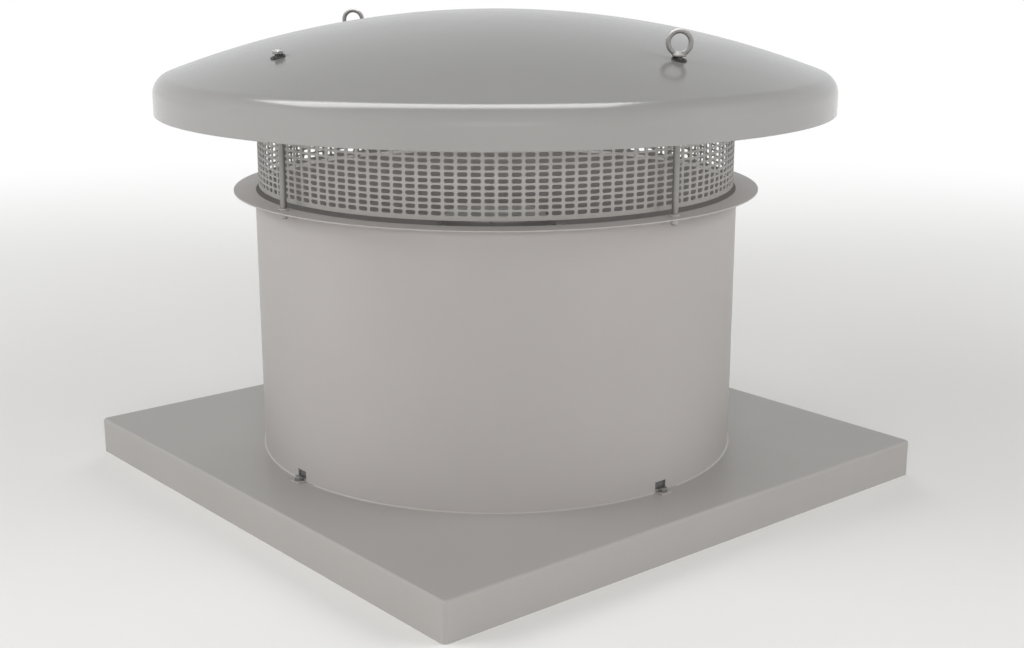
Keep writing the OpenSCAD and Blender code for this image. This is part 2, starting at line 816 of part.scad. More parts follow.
// Round shank and collar of one blade, grown by a gap
module shank(gap) {
    translate([shank_r0, 0, hub_z]) rotate([0, 90, 0])
        cylinder(d = shank_d + 2 * gap, h = blade_r0 - shank_r0);
    translate([collar_r0 - gap, 0, hub_z]) rotate([0, 90, 0])
        cylinder(d = shank_collar_d + 2 * gap, h = collar_l + 2 * gap);
}

// Half of the hub above z = 0: boss, web and rim
module hub_half() {
    half = hub_h / 2;
    difference() {
        union() {
            tube(hub_r - hub_rim_t, hub_r, half);
            cylinder(r = hub_boss_r, h = half);
            cylinder(r = hub_r - hub_rim_t / 2, h = hub_web_t);
        }
        around(hub_bolts_n, hub_bolt_r, hub_bolt_turn) translate([0, 0, -past])
            cylinder(d = hub_bolt_d + hole_clear, h = half + 2 * past);
        translate([0, 0, -past]) cylinder(d = shaft_d + 2 * seat, h = half + 2 * past);
        translate([0, -key_w / 2, -past]) cube([key_r1 + 2 * seat, key_w, half + 2 * past]);
    }
}

module hub_upper() {
    color("gainsboro") difference() {
        translate([0, 0, hub_z + seat / 2]) hub_half();
        around(blade_count, 0) shank(seat);
    }
}

module hub_lower() {
    color("gainsboro") difference() {
        translate([0, 0, hub_z - seat / 2]) mirror([0, 0, 1]) hub_half();
        around(blade_count, 0) shank(seat);
    }
}

module hub_bolts() {
    grip = 2 * hub_web_t + seat;
    color(zinc) around(hub_bolts_n, hub_bolt_r, hub_bolt_turn) translate([0, 0, hub_z - hub_web_t - seat / 2])
        mirror([0, 0, 1]) bolt(hub_bolt_d, grip + nut_h(hub_bolt_d) + past);
}

module hub_nuts() {
    color(zinc) around(hub_bolts_n, hub_bolt_r, hub_bolt_turn) translate([0, 0, hub_z + hub_web_t + seat / 2])
        hex_nut(hub_bolt_d, nut_h(hub_bolt_d));
}

// Aerofoil section: chord along X, thickness tapering to the trailing edge
function chord_at(i) = i / profile_steps;
function camber_at(t) = 4 * blade_camber * t * (1 - t);
function half_thickness(t) = blade_t / 2 * (2.6 * sqrt(t) * (1 - t) + 0.18);
function foil(side, t) = [(t - 0.5) * root_chord, camber_at(t) + side * half_thickness(t)];

module blade(turn) {
    section = concat([for (i = [0:profile_steps]) foil(1, chord_at(i))],
                     [for (i = [profile_steps:-1:0]) foil(-1, chord_at(i))]);
    color("gainsboro") rotate([0, 0, turn]) {
        shank(0);
        translate([blade_r0 - past, 0, hub_z]) rotate([90, 0, 90]) rotate([0, 0, root_pitch])
            linear_extrude(blade_l + past, twist = blade_twist, slices = twist_steps, scale = tip_taper,
                           $fn = len(section))
                translate([0, -blade_camber / 2]) polygon(section);
    }
}

module retaining_washer() {
    color(zinc) translate([0, 0, hub_z0 - seat / 2 - retaining_t])
        tube((shaft_bolt_d + hole_clear) / 2, retaining_r, retaining_t);
}

module retaining_bolt() {
    color(zinc) translate([0, 0, hub_z0 - seat / 2 - retaining_t]) mirror([0, 0, 1])
        bolt(shaft_bolt_d, retaining_t + shaft_bolt_l - past);
}

// Terminal box

module box_screw_places() {
    dx = box_w / 2 - boss_inset;
    dz = box_h / 2 - boss_inset;
    for (x = [-dx, dx], z = [-dz, dz]) translate([x, 0, core_mid + z]) children();
}

module box_slab(y0, y1, inset) {
    translate([inset - box_w / 2, y0, box_z0 + inset]) cube([box_w - 2 * inset, y1 - y0, box_h - 2 * inset]);
}

module terminal_box() {
    color(cast_grey) difference() {
        union() {
            difference() {
                box_slab(box_y0, box_y1, 0);
                box_slab(box_y0 + box_t, box_y1 + past, box_t);
            }
            box_screw_places() translate([-lid_screw_d, box_y0, -lid_screw_d])
                cube([2 * lid_screw_d, box_depth, 2 * lid_screw_d]);
        }
        box_screw_places() translate([0, box_y1 - box_depth / 2, 0]) rotate([-90, 0, 0])
            cylinder(d = lid_screw_d + 2 * seat, h = box_depth);
        translate([gland_x - past, gland_y, core_mid]) rotate([0, 90, 0])
            cylinder(d = gland_d + 2 * seat, h = box_t + 2 * past);
    }
}

module terminal_block() {
    color("black") translate([-block_d.x / 2, box_y0 + box_t, core_mid - block_d.z / 2]) cube(block_d);
}

module lid_gasket() {
    color(rubber_black) difference() {
        box_slab(box_y1, lid_y0, 0);
        box_slab(box_y1 - past, lid_y0 + past, 2 * boss_inset);
        box_screw_places() translate([0, box_y1 - past, 0]) rotate([-90, 0, 0])
            cylinder(d = lid_screw_d + hole_clear, h = lid_gasket_t + 2 * past);
    }
}

module terminal_lid() {
    color(cast_grey) difference() {
        box_slab(lid_y0, lid_y1, 0);
        box_screw_places() translate([0, lid_y0 - past, 0]) rotate([-90, 0, 0])
            cylinder(d = lid_screw_d + hole_clear, h = lid_t + 2 * past);
    }
}

module lid_screws() {
    color(zinc) box_screw_places() translate([0, lid_y1, 0]) rotate([-90, 0, 0])
        screw(lid_screw_d, lid_t + lid_gasket_t + box_depth / 2 - past);
}

// Along the gland's axis, +Z pointing out of the box
module at_gland() {
    translate([gland_x, gland_y, core_mid]) rotate([0, -90, 0]) children();
}

module cable_gland() {
    inside_l = box_t + nut_h(gland_d) / 2;
    color("black") at_gland() difference() {
        union() {
            translate([0, 0, -inside_l]) cylinder(d = gland_d, h = inside_l + gland_seal_t + past);
            translate([0, 0, gland_seal_t]) hex(gland_af, gland_collar_l);
            translate([0, 0, gland_seal_t + gland_collar_l]) cylinder(d = gland_d, h = gland_body_l);
        }
        translate([0, 0, -inside_l - past])
            cylinder(d = cable_d, h = inside_l + gland_seal_t + gland_collar_l + gland_body_l + 2 * past);
    }
}

module gland_nut() {
    color("black") at_gland() translate([0, 0, gland_seal_t + gland_collar_l + seat]) difference() {
        hex(gland_af, gland_cap_l);
        translate([0, 0, -past]) cylinder(d = gland_d + 2 * seat, h = gland_cap_l + 2 * past);
    }
}

module gland_seal() {
    color(rubber_black) at_gland() tube(gland_d / 2 + seat, gland_af / 2, gland_seal_t);
}

base_plate();
curb_seal();
casing();
foot_sealant();
foot_bolts();
foot_washers();
foot_nuts();
rivet_nuts();
eye_rods();
plain_rods();
dome();
rubber_washers();
dome_top_nuts();
dome_under_washers();
dome_under_nuts();
guard_bars();
guard_hoops();
guard_clips();
motor_support();
support_arms();
support_pads();
motor_bolts();
motor_washers();
motor_nuts();
drive_end_shield();
motor_frame();
rear_end_shield();
shield_screws();
stator_core();
stator_windings();
bearing_outer_rings();
terminal_box();
terminal_block();
lid_gasket();
terminal_lid();
lid_screws();
cable_gland();
gland_nut();
gland_seal();
shaft();
rotor_core();
bearing_inner_rings();
bearing_cages();
bearing_balls();
shaft_seal();
shaft_key();
hub_upper();
hub_lower();
hub_bolts();
hub_nuts();
retaining_washer();
retaining_bolt();
for (i = [1:blade_count])
    blade(360 * (i - 1) / blade_count);
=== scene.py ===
# Roof exhaust fan with a rain dome, dressed over its CAD frame. Metres, +Z up.
import math
import bmesh
import bpy
from mathutils import Matrix, Vector


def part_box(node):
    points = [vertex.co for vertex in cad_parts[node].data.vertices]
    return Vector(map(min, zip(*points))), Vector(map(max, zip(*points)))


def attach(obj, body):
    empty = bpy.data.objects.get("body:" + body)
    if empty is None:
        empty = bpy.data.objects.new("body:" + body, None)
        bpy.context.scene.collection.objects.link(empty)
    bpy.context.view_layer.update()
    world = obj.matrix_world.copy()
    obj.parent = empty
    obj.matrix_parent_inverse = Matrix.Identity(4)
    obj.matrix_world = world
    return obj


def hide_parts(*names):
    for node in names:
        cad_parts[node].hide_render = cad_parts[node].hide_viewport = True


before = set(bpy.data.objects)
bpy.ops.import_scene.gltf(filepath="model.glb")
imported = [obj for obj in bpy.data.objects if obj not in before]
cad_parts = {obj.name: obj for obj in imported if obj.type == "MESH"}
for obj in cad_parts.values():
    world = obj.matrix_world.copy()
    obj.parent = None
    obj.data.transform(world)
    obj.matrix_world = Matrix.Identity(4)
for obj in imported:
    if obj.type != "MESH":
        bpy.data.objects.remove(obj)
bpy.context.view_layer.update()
mm = 0.001
mergeGap = 0.01 * mm  # points of a drawn shape closer than this are one
sliver = 0.003 * mm  # widest face that a cut may leave and cleaning takes away
play = 0.05 * mm  # room between pieces that fit into each other
print("frame loaded:", len(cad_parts), "nodes")


# Working moves that every piece uses

def leaveEdit():
    bpy.ops.object.mode_set(mode="OBJECT")


def unpick():
    if bpy.context.object and bpy.context.object.mode == "EDIT":
        leaveEdit()
    bpy.ops.object.select_all(action="DESELECT")


def activate(piece):
    unpick()
    piece.select_set(True)
    bpy.context.view_layer.objects.active = piece
    return piece


def settle():  # the new primitive's place, turn and size go into its mesh
    bpy.ops.object.transform_apply(location=True, rotation=True, scale=True)
    return bpy.context.object


def openEdit(piece, mode):
    activate(piece)
    bpy.ops.object.mode_set(mode="EDIT")
    bpy.ops.mesh.select_mode(type=mode)
    bpy.ops.mesh.select_all(action="DESELECT")


def pickAll():
    bpy.ops.mesh.select_all(action="SELECT")


def pick(piece, kind, test):  # selects edges or faces by their place or normal
    shape = bmesh.from_edit_mesh(piece.data)
    for part in getattr(shape, kind):
        if test(part):
            part.select_set(True)
    shape.select_flush_mode()
    bmesh.update_edit_mesh(piece.data)


def mergeAll(gap=mergeGap):  # points closer than the gap become one
    pickAll()
    bpy.ops.mesh.remove_doubles(threshold=gap)


def faceOut():  # the picked faces look outward, and the mesh is done
    bpy.ops.mesh.normals_make_consistent(inside=False)
    leaveEdit()


def pull(move):  # extrudes what is picked
    bpy.ops.mesh.extrude_region_move(TRANSFORM_OT_translate={"value": move})


def mid(edge):
    return (edge.verts[0].co + edge.verts[1].co) / 2


def modify(piece, kind, **settings):
    activate(piece)
    modifier = piece.modifiers.new(kind.title(), kind)
    for key, value in settings.items():
        setattr(modifier, key, value)
    bpy.ops.object.modifier_apply(modifier=modifier.name)
    return piece


def cleaned(piece):  # merges the slivers that a cut or an edge round leaves
    openEdit(piece, "VERT")
    mergeAll(sliver)
    bpy.ops.mesh.dissolve_degenerate(threshold=sliver)
    leaveEdit()
    return piece


def carve(piece, cutter, how="DIFFERENCE"):
    modify(piece, "BOOLEAN", object=cutter, operation=how, solver="EXACT")
    bpy.data.objects.remove(cutter)
    return cleaned(piece)


def soften(piece, width, segments=2, angle=30):  # small edge rounds, then shading by angle
    limit = math.radians(angle)
    if width:
        modify(piece, "BEVEL", width=width, segments=segments, limit_method="ANGLE", angle_limit=limit)
        cleaned(piece)
    activate(piece)
    bpy.ops.object.shade_smooth_by_angle(angle=limit)
    return modify(piece, "WEIGHTED_NORMAL", keep_sharp=True)


def joined(*pieces):
    activate(pieces[0])
    for piece in pieces:
        piece.select_set(True)
    if len(pieces) > 1:
        bpy.ops.object.join()
    return pieces[0]


def placed(piece, place, turn=Matrix()):  # moves and turns a piece in its own mesh
    piece.data.transform(Matrix.Translation(place) @ turn)
    return piece


def copied(piece, move):  # a copy with its own mesh, moved in its mesh
    copy = piece.copy()
    copy.data = piece.data.copy()
    copy.data.transform(move)
    bpy.context.collection.objects.link(copy)
    return copy


def ringOf(piece, count, first=0.0):  # one piece becomes several round the fan's axis
    turns = [Matrix.Rotation(math.radians(first) + math.tau * i / count, 4, "Z") for i in range(count)]
    copies = [copied(piece, turn) for turn in turns]
    bpy.data.objects.remove(piece)
    return joined(*copies)


def drawLine(points):  # a chain of edges through the points, left selected in edit mode
    unpick()
    bpy.ops.mesh.primitive_circle_add(vertices=3, radius=mm)
    piece = bpy.context.object
    bpy.ops.object.mode_set(mode="EDIT")
    bpy.ops.mesh.select_mode(type="VERT")
    pickAll()
    bpy.ops.mesh.merge(type="CENTER")
    bpy.ops.transform.translate(value=points[0])
    for here, there in zip(points, points[1:]):
        bpy.ops.mesh.extrude_vertices_move(TRANSFORM_OT_translate={"value": Vector(there) - Vector(here)})
    mergeAll()
    return piece


def turned(outline, steps, angle=math.tau, closed=False):  # draws (radius, height) points and spins them
    points = [(radius, 0, height) for radius, height in outline]
    piece = drawLine(points + points[:1] if closed else points)
    if closed and angle < math.tau:
        bpy.ops.mesh.edge_face_add()
    bpy.ops.mesh.spin(steps=steps, angle=angle, center=(0, 0, 0), axis=(0, 0, 1))
    mergeAll()
    faceOut()
    return piece


def arc(centre, radius, start, end, steps):  # points of a rounded stretch, angles in degrees
    angles = [math.radians(start + (end - start) * i / steps) for i in range(steps + 1)]
    return [(centre[0] + radius * math.cos(a), centre[1] + radius * math.sin(a)) for a in angles]


def tube(inner, outer, low, high, steps):
    return turned([(inner, low), (outer, low), (outer, high), (inner, high)], steps, closed=True)


def rod(radius, low, high, steps=32):  # plain bar along Z
    return turned([(0, low), (radius, low), (radius, high), (0, high)], steps)


def block(low, high):  # cube primitive from corner to corner
    low, high = Vector(low), Vector(high)
    unpick()
    bpy.ops.mesh.primitive_cube_add(size=1, location=(low + high) / 2, scale=high - low)
    return settle()


def fit(piece, name, slotName, finish, *nodes, body="housing"):  # names a piece, gives it its finish, hangs it on its body and hides the CAD nodes it stands for
    piece.name = piece.data.name = name
    piece.data.materials.clear()
    piece.data.materials.append(finish)
    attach(piece, body)
    if nodes:
        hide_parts(*nodes)
    print("made", name, len(piece.data.polygons), "faces")


# Finishes

def linear(hexText):  # sRGB hex to the linear values that shaders take
    parts = [int(hexText[i:i + 2], 16) / 255 for i in (0, 2, 4)]
    return tuple(c / 12.92 if c <= 0.04045 else ((c + 0.055) / 1.055) ** 2.4 for c in parts) + (1.0,)


def addNode(tree, kind, settings={}, links={}):
    node = tree.nodes.new(kind)
    for key, value in settings.items():
        if isinstance(key, str) and hasattr(node, key):
            setattr(node, key, value)
        else:
            node.inputs[key].default_value = value
    for key, source in links.items():
        tree.links.new(source, node.inputs[key])
    return node


def perMetre(size):  # pattern scale from a feature's size in millimetres
    return 1000 / size


def newFinish(name, metal=0.0):  # a bare material with its shader and the piece's own coordinates
    finish = bpy.data.materials.new(name)
    finish.use_nodes = True
    tree = finish.node_tree
    shader = tree.nodes["Principled BSDF"]
    shader.inputs["Metallic"].default_value = metal
    return finish, tree, shader, addNode(tree, "ShaderNodeTexCoord").outputs["Object"]


def feed(tree, shader, tones, cloud, polish, wear, depth, grain):  # colour, roughness and bump, each by a pattern
    colour = addNode(tree, "ShaderNodeMix", {"data_type": "RGBA", 6: linear(tones[0]), 7: linear(tones[1])},
                     {0: cloud.outputs[0]})
    sheen = addNode(tree, "ShaderNodeMapRange", {"To Min": polish[0], "To Max": polish[1]},
                    {"Value": wear.outputs[0]})
    skin = addNode(tree, "ShaderNodeBump", {"Distance": depth}, {"Height": grain.outputs[0]})
    tree.links.new(colour.outputs[2], shader.inputs["Base Color"])
    tree.links.new(sheen.outputs["Result"], shader.inputs["Roughness"])
    tree.links.new(skin.outputs["Normal"], shader.inputs["Normal"])


def powderCoat(name, dark, light, smooth, matt, shine=0.35):
    # Baked polyester powder on sheet steel: satin grey with slow clouds of tone and a faint orange peel.
    # Real peel is about 1 mm across; it is drawn at 3 mm so that it shows.
    finish, tree, shader, place = newFinish(name)
    shader.inputs["Specular IOR Level"].default_value = shine
    clouds = addNode(tree, "ShaderNodeTexNoise", {"Scale": perMetre(180), "Detail": 3.0}, {"Vector": place})
    wiped = addNode(tree, "ShaderNodeTexNoise", {"Scale": perMetre(45), "Detail": 4.0}, {"Vector": place})
    peel = addNode(tree, "ShaderNodeTexNoise", {"Scale": perMetre(3), "Detail": 1.0}, {"Vector": place})
    feed(tree, shader, (dark, light), clouds, (smooth, matt), wiped, 0.01 * mm, peel)
    return finish


def zincCoat(name, dark, light, smooth, matt, lay):
    # Zinc on steel: cool silver with a faint patchy bloom, and drawing marks along the lay
    finish, tree, shader, place = newFinish(name, 1.0)
    bloom = addNode(tree, "ShaderNodeTexNoise", {"Scale": perMetre(8), "Detail": 3.0}, {"Vector": place})
    along = addNode(tree, "ShaderNodeMapping", {"Scale": lay}, {"Vector": place})
    marks = addNode(tree, "ShaderNodeTexNoise", {"Scale": perMetre(1.5), "Detail": 2.0},
                    {"Vector": along.outputs["Vector"]})
    feed(tree, shader, (dark, light), bloom, (smooth, matt), marks, 0.02 * mm, marks)
    return finish


def castMetal(name, dark, light, smooth, matt, grain, metal):
    # Cast metal, bare or under thin paint: the mould's sandy grain breaks up the highlights
    finish, tree, shader, place = newFinish(name, metal)
    stain = addNode(tree, "ShaderNodeTexNoise", {"Scale": perMetre(30), "Detail": 4.0}, {"Vector": place})
    sand = addNode(tree, "ShaderNodeTexNoise", {"Scale": perMetre(grain), "Detail": 3.0}, {"Vector": place})
    feed(tree, shader, (dark, light), stain, (smooth, matt), sand, 0.1 * mm, sand)
    return finish


def turnedMetal(name, dark, light, smooth, matt, groove):
    # Lathe-turned or stacked metal: fine rings across the axis, drawn coarser than real so that they show
    finish, tree, shader, place = newFinish(name, 1.0)
    haze = addNode(tree, "ShaderNodeTexNoise", {"Scale": perMetre(12), "Detail": 3.0}, {"Vector": place})
    across = addNode(tree, "ShaderNodeMapping", {"Scale": (0.02, 0.02, 1)}, {"Vector": place})
    rings = addNode(tree, "ShaderNodeTexNoise", {"Scale": perMetre(groove), "Detail": 1.0},
                    {"Vector": across.outputs["Vector"]})
    feed(tree, shader, (dark, light), rings, (smooth, matt), haze, 0.04 * mm, rings)
    return finish


def moulded(name, dark, light, smooth, matt, grain, depth):
    # Moulded or foamed rubber and plastic: matt, with a cell-like grain that breaks the highlight
    finish, tree, shader, place = newFinish(name)
    bloom = addNode(tree, "ShaderNodeTexNoise", {"Scale": perMetre(14), "Detail": 3.0}, {"Vector": place})
    cells = addNode(tree, "ShaderNodeTexVoronoi", {"Scale": perMetre(grain)}, {"Vector": place})
    feed(tree, shader, (dark, light), bloom, (smooth, matt), cells, depth, cells)
    return finish


def tooledSealant(name, dark, light, smooth, matt):
    # Polyurethane sealant smoothed by hand and painted over: soft lumps along the bead, shinier than the sheet
    finish, tree, shader, place = newFinish(name)
    lumps = addNode(tree, "ShaderNodeTexNoise", {"Scale": perMetre(9), "Detail": 2.0}, {"Vector": place})
    feed(tree, shader, (dark, light), lumps, (smooth, matt), lumps, 0.25 * mm, lumps)
    return finish


baseCoat = powderCoat("powderCoatedBaseSheet", "979491", "9E9B98", 0.38, 0.50)
casingCoat = powderCoat("powderCoatedCasingSheet", "999593", "A09C9A", 0.40, 0.52)
domeCoat = powderCoat("powderCoatedSpunSheet", "8A8987", "91908E", 0.15, 0.22, 0.42)
guardCoat = powderCoat("powderCoatedSlottedSheet", "8E8B88", "969390", 0.40, 0.52)
supportCoat = powderCoat("powderCoatedSupport", "979593", "9F9D9A", 0.42, 0.54)
zincBright = zincCoat("zincPlatedFasteners", "9B9C9E", "ADABA7", 0.34, 0.50, (1, 1, 1))
rodZinc = zincCoat("galvanisedDrawnRod", "9F9D9A", "AAA8A5", 0.48, 0.64, (1, 1, 0.05))
motorPaint = castMetal("enamelledCastIron", "7A7775", "848180", 0.38, 0.55, 1.6, 0.0)
hubAlloy = castMetal("sandCastAluminium", "A7A9AB", "BFC0C1", 0.40, 0.58, 1.2, 1.0)
bladeAlloy = castMetal("dieCastAluminium", "B2B4B6", "C6C7C8", 0.32, 0.46, 2.0, 1.0)
shaftSteel = turnedMetal("turnedSteel", "A3A4A6", "BDBDBD", 0.22, 0.34, 1.0)
bearingSteel = turnedMetal("groundBearingSteel", "B6B8BA", "CDCDCD", 0.12, 0.22, 0.6)
cageBrass = turnedMetal("pressedBrass", "A98A4C", "C4A665", 0.25, 0.38, 1.2)
coreSteel = turnedMetal("stackedSteelSheets", "4C4D50", "77787B", 0.42, 0.58, 1.5)
windingCopper = turnedMetal("enamelledCopperWire", "7A4526", "A9663C", 0.25, 0.40, 1.4)
washerRubber = moulded("mouldedRubber", "303031", "3C3C3D", 0.60, 0.80, 0.6, 0.03 * mm)
foamRubber = moulded("closedCellFoam", "2B2B2C", "3A3A3A", 0.70, 0.90, 1.6, 0.2 * mm)
# the mid-grey of this foam is painted shade, for the pads in the casing's foot windows
windowShadeGrey = moulded("greyFoamForWindowShade", "585654", "636160", 0.75, 0.92, 1.6, 0.2 * mm)
glandNylon = moulded("mouldedNylon", "1E1F21", "2A2B2D", 0.38, 0.55, 0.8, 0.02 * mm)
beadSealant = tooledSealant("paintedPolyurethaneSealant", "9D9A96", "A6A39F", 0.32, 0.48)
print("finishes mixed")


# Threads and hexagons, sized as metric fasteners

threadPitch = {3: 0.5, 4: 0.7, 6: 1.0, 8: 1.25, 10: 1.5}  # mm, by nominal size
fastenerSet = {"hexHead": 0.65, "panHead": 0.7, "panRadius": 0.9,  # times the nominal size
               "slotFoot": 0.55, "slotHalf": 0.1,  # times the pan head's height and radius
               "threadDeep": 0.55, "threadTip": 0.5,  # times the pitch
               "hexEdge": 0.12 * mm, "washerEdge": 0.15 * mm}


def hexAcross(size):
    return (1.5 * size + 1) * mm


def panTall(size):
    return fastenerSet["panHead"] * size * mm


def threadedBar(size, low, high, cutLow, cutHigh):  # bar along Z with a thread over one stretch
    pitch = threadPitch[size] * mm
    radius, tip = size / 2 * mm, fastenerSet["threadTip"] * pitch
    root = radius - fastenerSet["threadDeep"] * pitch
    outline = [(0, low), (radius - tip, low), (radius, low + tip)]
    for i in range(int((cutHigh - cutLow) / pitch)):
        height = cutLow + i * pitch
        outline += [(radius, height), (root, height + pitch / 2), (radius, height + pitch)]
    outline += [(radius, high - tip), (radius - tip, high), (0, high)]
    return turned(outline, 28)


def hexBody(across, height, bore=0.0):  # hexagon standing on z = 0, corners chamfered at both ends
    corner = across / 2 / math.cos(math.radians(30))
    unpick()
    bpy.ops.mesh.primitive_cylinder_add(vertices=6, radius=corner, depth=height,
                                        location=(0, 0, height / 2), rotation=(0, 0, math.radians(30)))
    body = settle()
    flat = 0.47 * across
    reach = 1.02 * corner
    drop = (reach - flat) * math.tan(math.radians(30))
    carve(body, turned([(0, 0), (flat, 0), (reach, drop), (reach, height - drop), (flat, height), (0, height)],
                       48), "INTERSECT")
    if bore:
        carve(body, rod(bore / 2, -height, 2 * height))
    return soften(body, fastenerSet["hexEdge"], 1)


def boltsAt(node, size, circle, count, first=0.0, headUp=True):  # hexagon bolts over a node's own height
    low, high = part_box(node)
    head = fastenerSet["hexHead"] * size * mm
    length = high.z - low.z - head
    shank = threadedBar(size, -length, head / 3, -length + mm, -length / 4)
    bolt = soften(carve(hexBody(hexAcross(size), head), shank, "UNION"), 0)
    if headUp:
        placed(bolt, (circle, 0, high.z - head))
    else:
        placed(bolt, (circle, 0, low.z + head), Matrix.Rotation(math.pi, 4, "X"))
    return ringOf(bolt, count, first)


def nutsAt(node, size, circle, count, first=0.0):
    low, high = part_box(node)
    nut = placed(hexBody(hexAcross(size), high.z - low.z, size * mm + 2 * play), (circle, 0, low.z))
    return ringOf(nut, count, first)


def washersAt(node, inner, outer, circle, count, first=0.0):
    low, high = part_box(node)
    washer = soften(tube(inner, outer, low.z, high.z, 48), fastenerSet["washerEdge"])
    return ringOf(placed(washer, (circle, 0, 0)), count, first)


def screw(size, length):  # slotted pan head above z = 0, threaded shank below it
    radius, tall = fastenerSet["panRadius"] * size * mm, panTall(size)
    body = turned([(0, 0), (radius, 0)] + arc((radius - tall, 0), tall, 20, 90, 5) + [(0, tall)], 32)
    half = fastenerSet["slotHalf"] * radius
    carve(body, block((-2 * radius, -half, fastenerSet["slotFoot"] * tall), (2 * radius, half, 2 * tall)))
    shank = threadedBar(size, -length, tall / 3, -length + mm, -length / 4)
    return soften(carve(body, shank, "UNION"), 0)


def fasten(make, name, node, *sizes, body="housing"):  # zinc-plated bolts, screws, nuts or washers over a node
    fit(make(node, *sizes), name, "zinc_fasteners", zincBright, node, body=body)


# Square base: one sheet, folded down all round, with a foam strip for the curb under it

baseSet = {"sheet": 2.0 * mm, "bend": 4.0 * mm, "corner": 6.0 * mm, "edge": 0.3 * mm,
           "inletRadius": 305.0 * mm, "inletSteps": 192, "boltHole": 6.6 * mm, "stripWide": 30.0 * mm,
           "stripRound": 1.0 * mm}
footSet = {"size": 6, "washerIn": 3.3 * mm, "washerOut": 6.0 * mm}
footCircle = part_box("foot_washers")[1].x - footSet["washerOut"]


def makeBase():
    low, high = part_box("base_plate")
    base = block(low, high)
    openEdit(base, "FACE")
    pick(base, "faces", lambda f: f.normal.z < -0.9)
    bpy.ops.mesh.delete(type="FACE")
    bpy.ops.mesh.select_mode(type="EDGE")
    pick(base, "edges", lambda e: abs(e.verts[0].co.z - e.verts[1].co.z) > mm)
    bpy.ops.mesh.bevel(offset=baseSet["corner"], segments=6, affect="EDGES")
    bpy.ops.mesh.select_all(action="DESELECT")
    pick(base, "edges", lambda e: mid(e).z > high.z - mergeGap)
    bpy.ops.mesh.bevel(offset=baseSet["bend"], segments=5, affect="EDGES")
    leaveEdit()
    modify(base, "SOLIDIFY", thickness=baseSet["sheet"], offset=-1, use_even_offset=True)
    bolt = placed(rod(baseSet["boltHole"] / 2, 0, 2 * high.z, 24), (footCircle, 0, 0))
    carve(base, joined(rod(baseSet["inletRadius"], 0, 2 * high.z, baseSet["inletSteps"]), ringOf(bolt, 4)))
    return soften(base, baseSet["edge"])


def makeCurbStrip():
    low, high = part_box("curb_seal")
    inset = Vector((baseSet["stripWide"], baseSet["stripWide"], -mm))
    strip = carve(block(low, high), block(low + inset, high - inset))
    return soften(strip, baseSet["stripRound"])


fit(makeBase(), "foldedBase", "base_sheet", baseCoat, "base_plate")
fit(makeCurbStrip(), "curbFoamStrip", "seal_rubber", foamRubber, "curb_seal")


# Casing: rolled sheet with a bent flange, and four lugs folded out of windows at its foot

casingSet = {"wall": 316.5 * mm, "sheet": 1.5 * mm, "bend": 1.0 * mm, "steps": 332, "bendSteps": 4,
             "windowHalf": 9.0 * mm, "windowTall": 12.0 * mm, "lug": 12.0 * mm, "edge": 0.25 * mm,
             "bead": 4.0 * mm, "beadSteps": 64, "beadGap": 0.3 * mm}
shadePadSet = {"thick": 3.0 * mm, "half": 11.0 * mm, "tall": 15.0 * mm, "gap": 0.3 * mm, "lift": 0.2 * mm,
          "rim": 2.5 * mm, "bulge": 0.5 * mm, "edge": 0.5 * mm}


def atLug(point):  # true within the width of a foot lug
    return min(abs(point.x), abs(point.y)) < casingSet["windowHalf"] * 0.9


def makeCasing():
    low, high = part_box("casing")
    wall, sheet, bend = casingSet["wall"], casingSet["sheet"], casingSet["bend"]
    sill = low.z + sheet
    head = sill + casingSet["windowTall"]
    outline = [(wall, low.z), (wall, sill), (wall, head)]
    outline += arc((wall + bend, high.z - sheet - bend), bend, 180, 90, casingSet["bendSteps"])
    outline += [(high.x, high.z - sheet)]
    casing = turned(outline, casingSet["steps"])
    casing.data.transform(Matrix.Rotation(math.pi / casingSet["steps"], 4, "Z"))  # a facet on each lug's middle
    openEdit(casing, "FACE")
    pick(casing, "faces", lambda f: sill < f.calc_center_median().z < head and atLug(f.calc_center_median()))
    bpy.ops.mesh.delete(type="FACE")
    leaveEdit()
    modify(casing, "SOLIDIFY", thickness=sheet, offset=-1, use_even_offset=True)
    for turn in range(4):
        out = Vector((math.cos(turn * math.pi / 2), math.sin(turn * math.pi / 2), 0))
        openEdit(casing, "FACE")
        pick(casing, "faces", lambda f: f.calc_center_median().z < sill and f.normal.dot(out) > 0.9
             and atLug(f.calc_center_median()) and f.calc_center_median().length > wall - sheet / 2)
        pull(out * casingSet["lug"])
        leaveEdit()
    return soften(casing, casingSet["edge"])


def makeBead():  # hollow fillet along the foot, in four stretches between the lugs
    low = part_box("foot_sealant")[0].z
    start, size = casingSet["wall"] + play, casingSet["bead"]
    outline = [(start, low)] + arc((start + size, low + size), size, 265, 185, 6)
    clear = math.asin((casingSet["windowHalf"] + casingSet["beadGap"]) / start)
    stretch = turned(outline, casingSet["beadSteps"], math.pi / 2 - 2 * clear, closed=True)
    return soften(ringOf(stretch, 4, math.degrees(clear)), 0)


def makeWindowShadePads():  # grey foam pads behind the windows, whose mid-grey is painted shade: the tone of the dim inside seen through each window
    low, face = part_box("casing")[0].z, casingSet["wall"] - casingSet["sheet"] - shadePadSet["gap"]
    half = shadePadSet["half"]
    pad = block((face - shadePadSet["thick"], -half, low + shadePadSet["lift"]), (face, half, low + shadePadSet["tall"]))
    openEdit(pad, "FACE")
    pick(pad, "faces", lambda f: f.normal.x > 0.9)
    bpy.ops.mesh.inset(thickness=shadePadSet["rim"], depth=shadePadSet["bulge"])
    leaveEdit()
    return soften(ringOf(pad, 4), shadePadSet["edge"])


fit(makeCasing(), "casingDrum", "casing_sheet", casingCoat, "casing")
fit(makeBead(), "footSealantBead", "sealant", beadSealant, "foot_sealant")
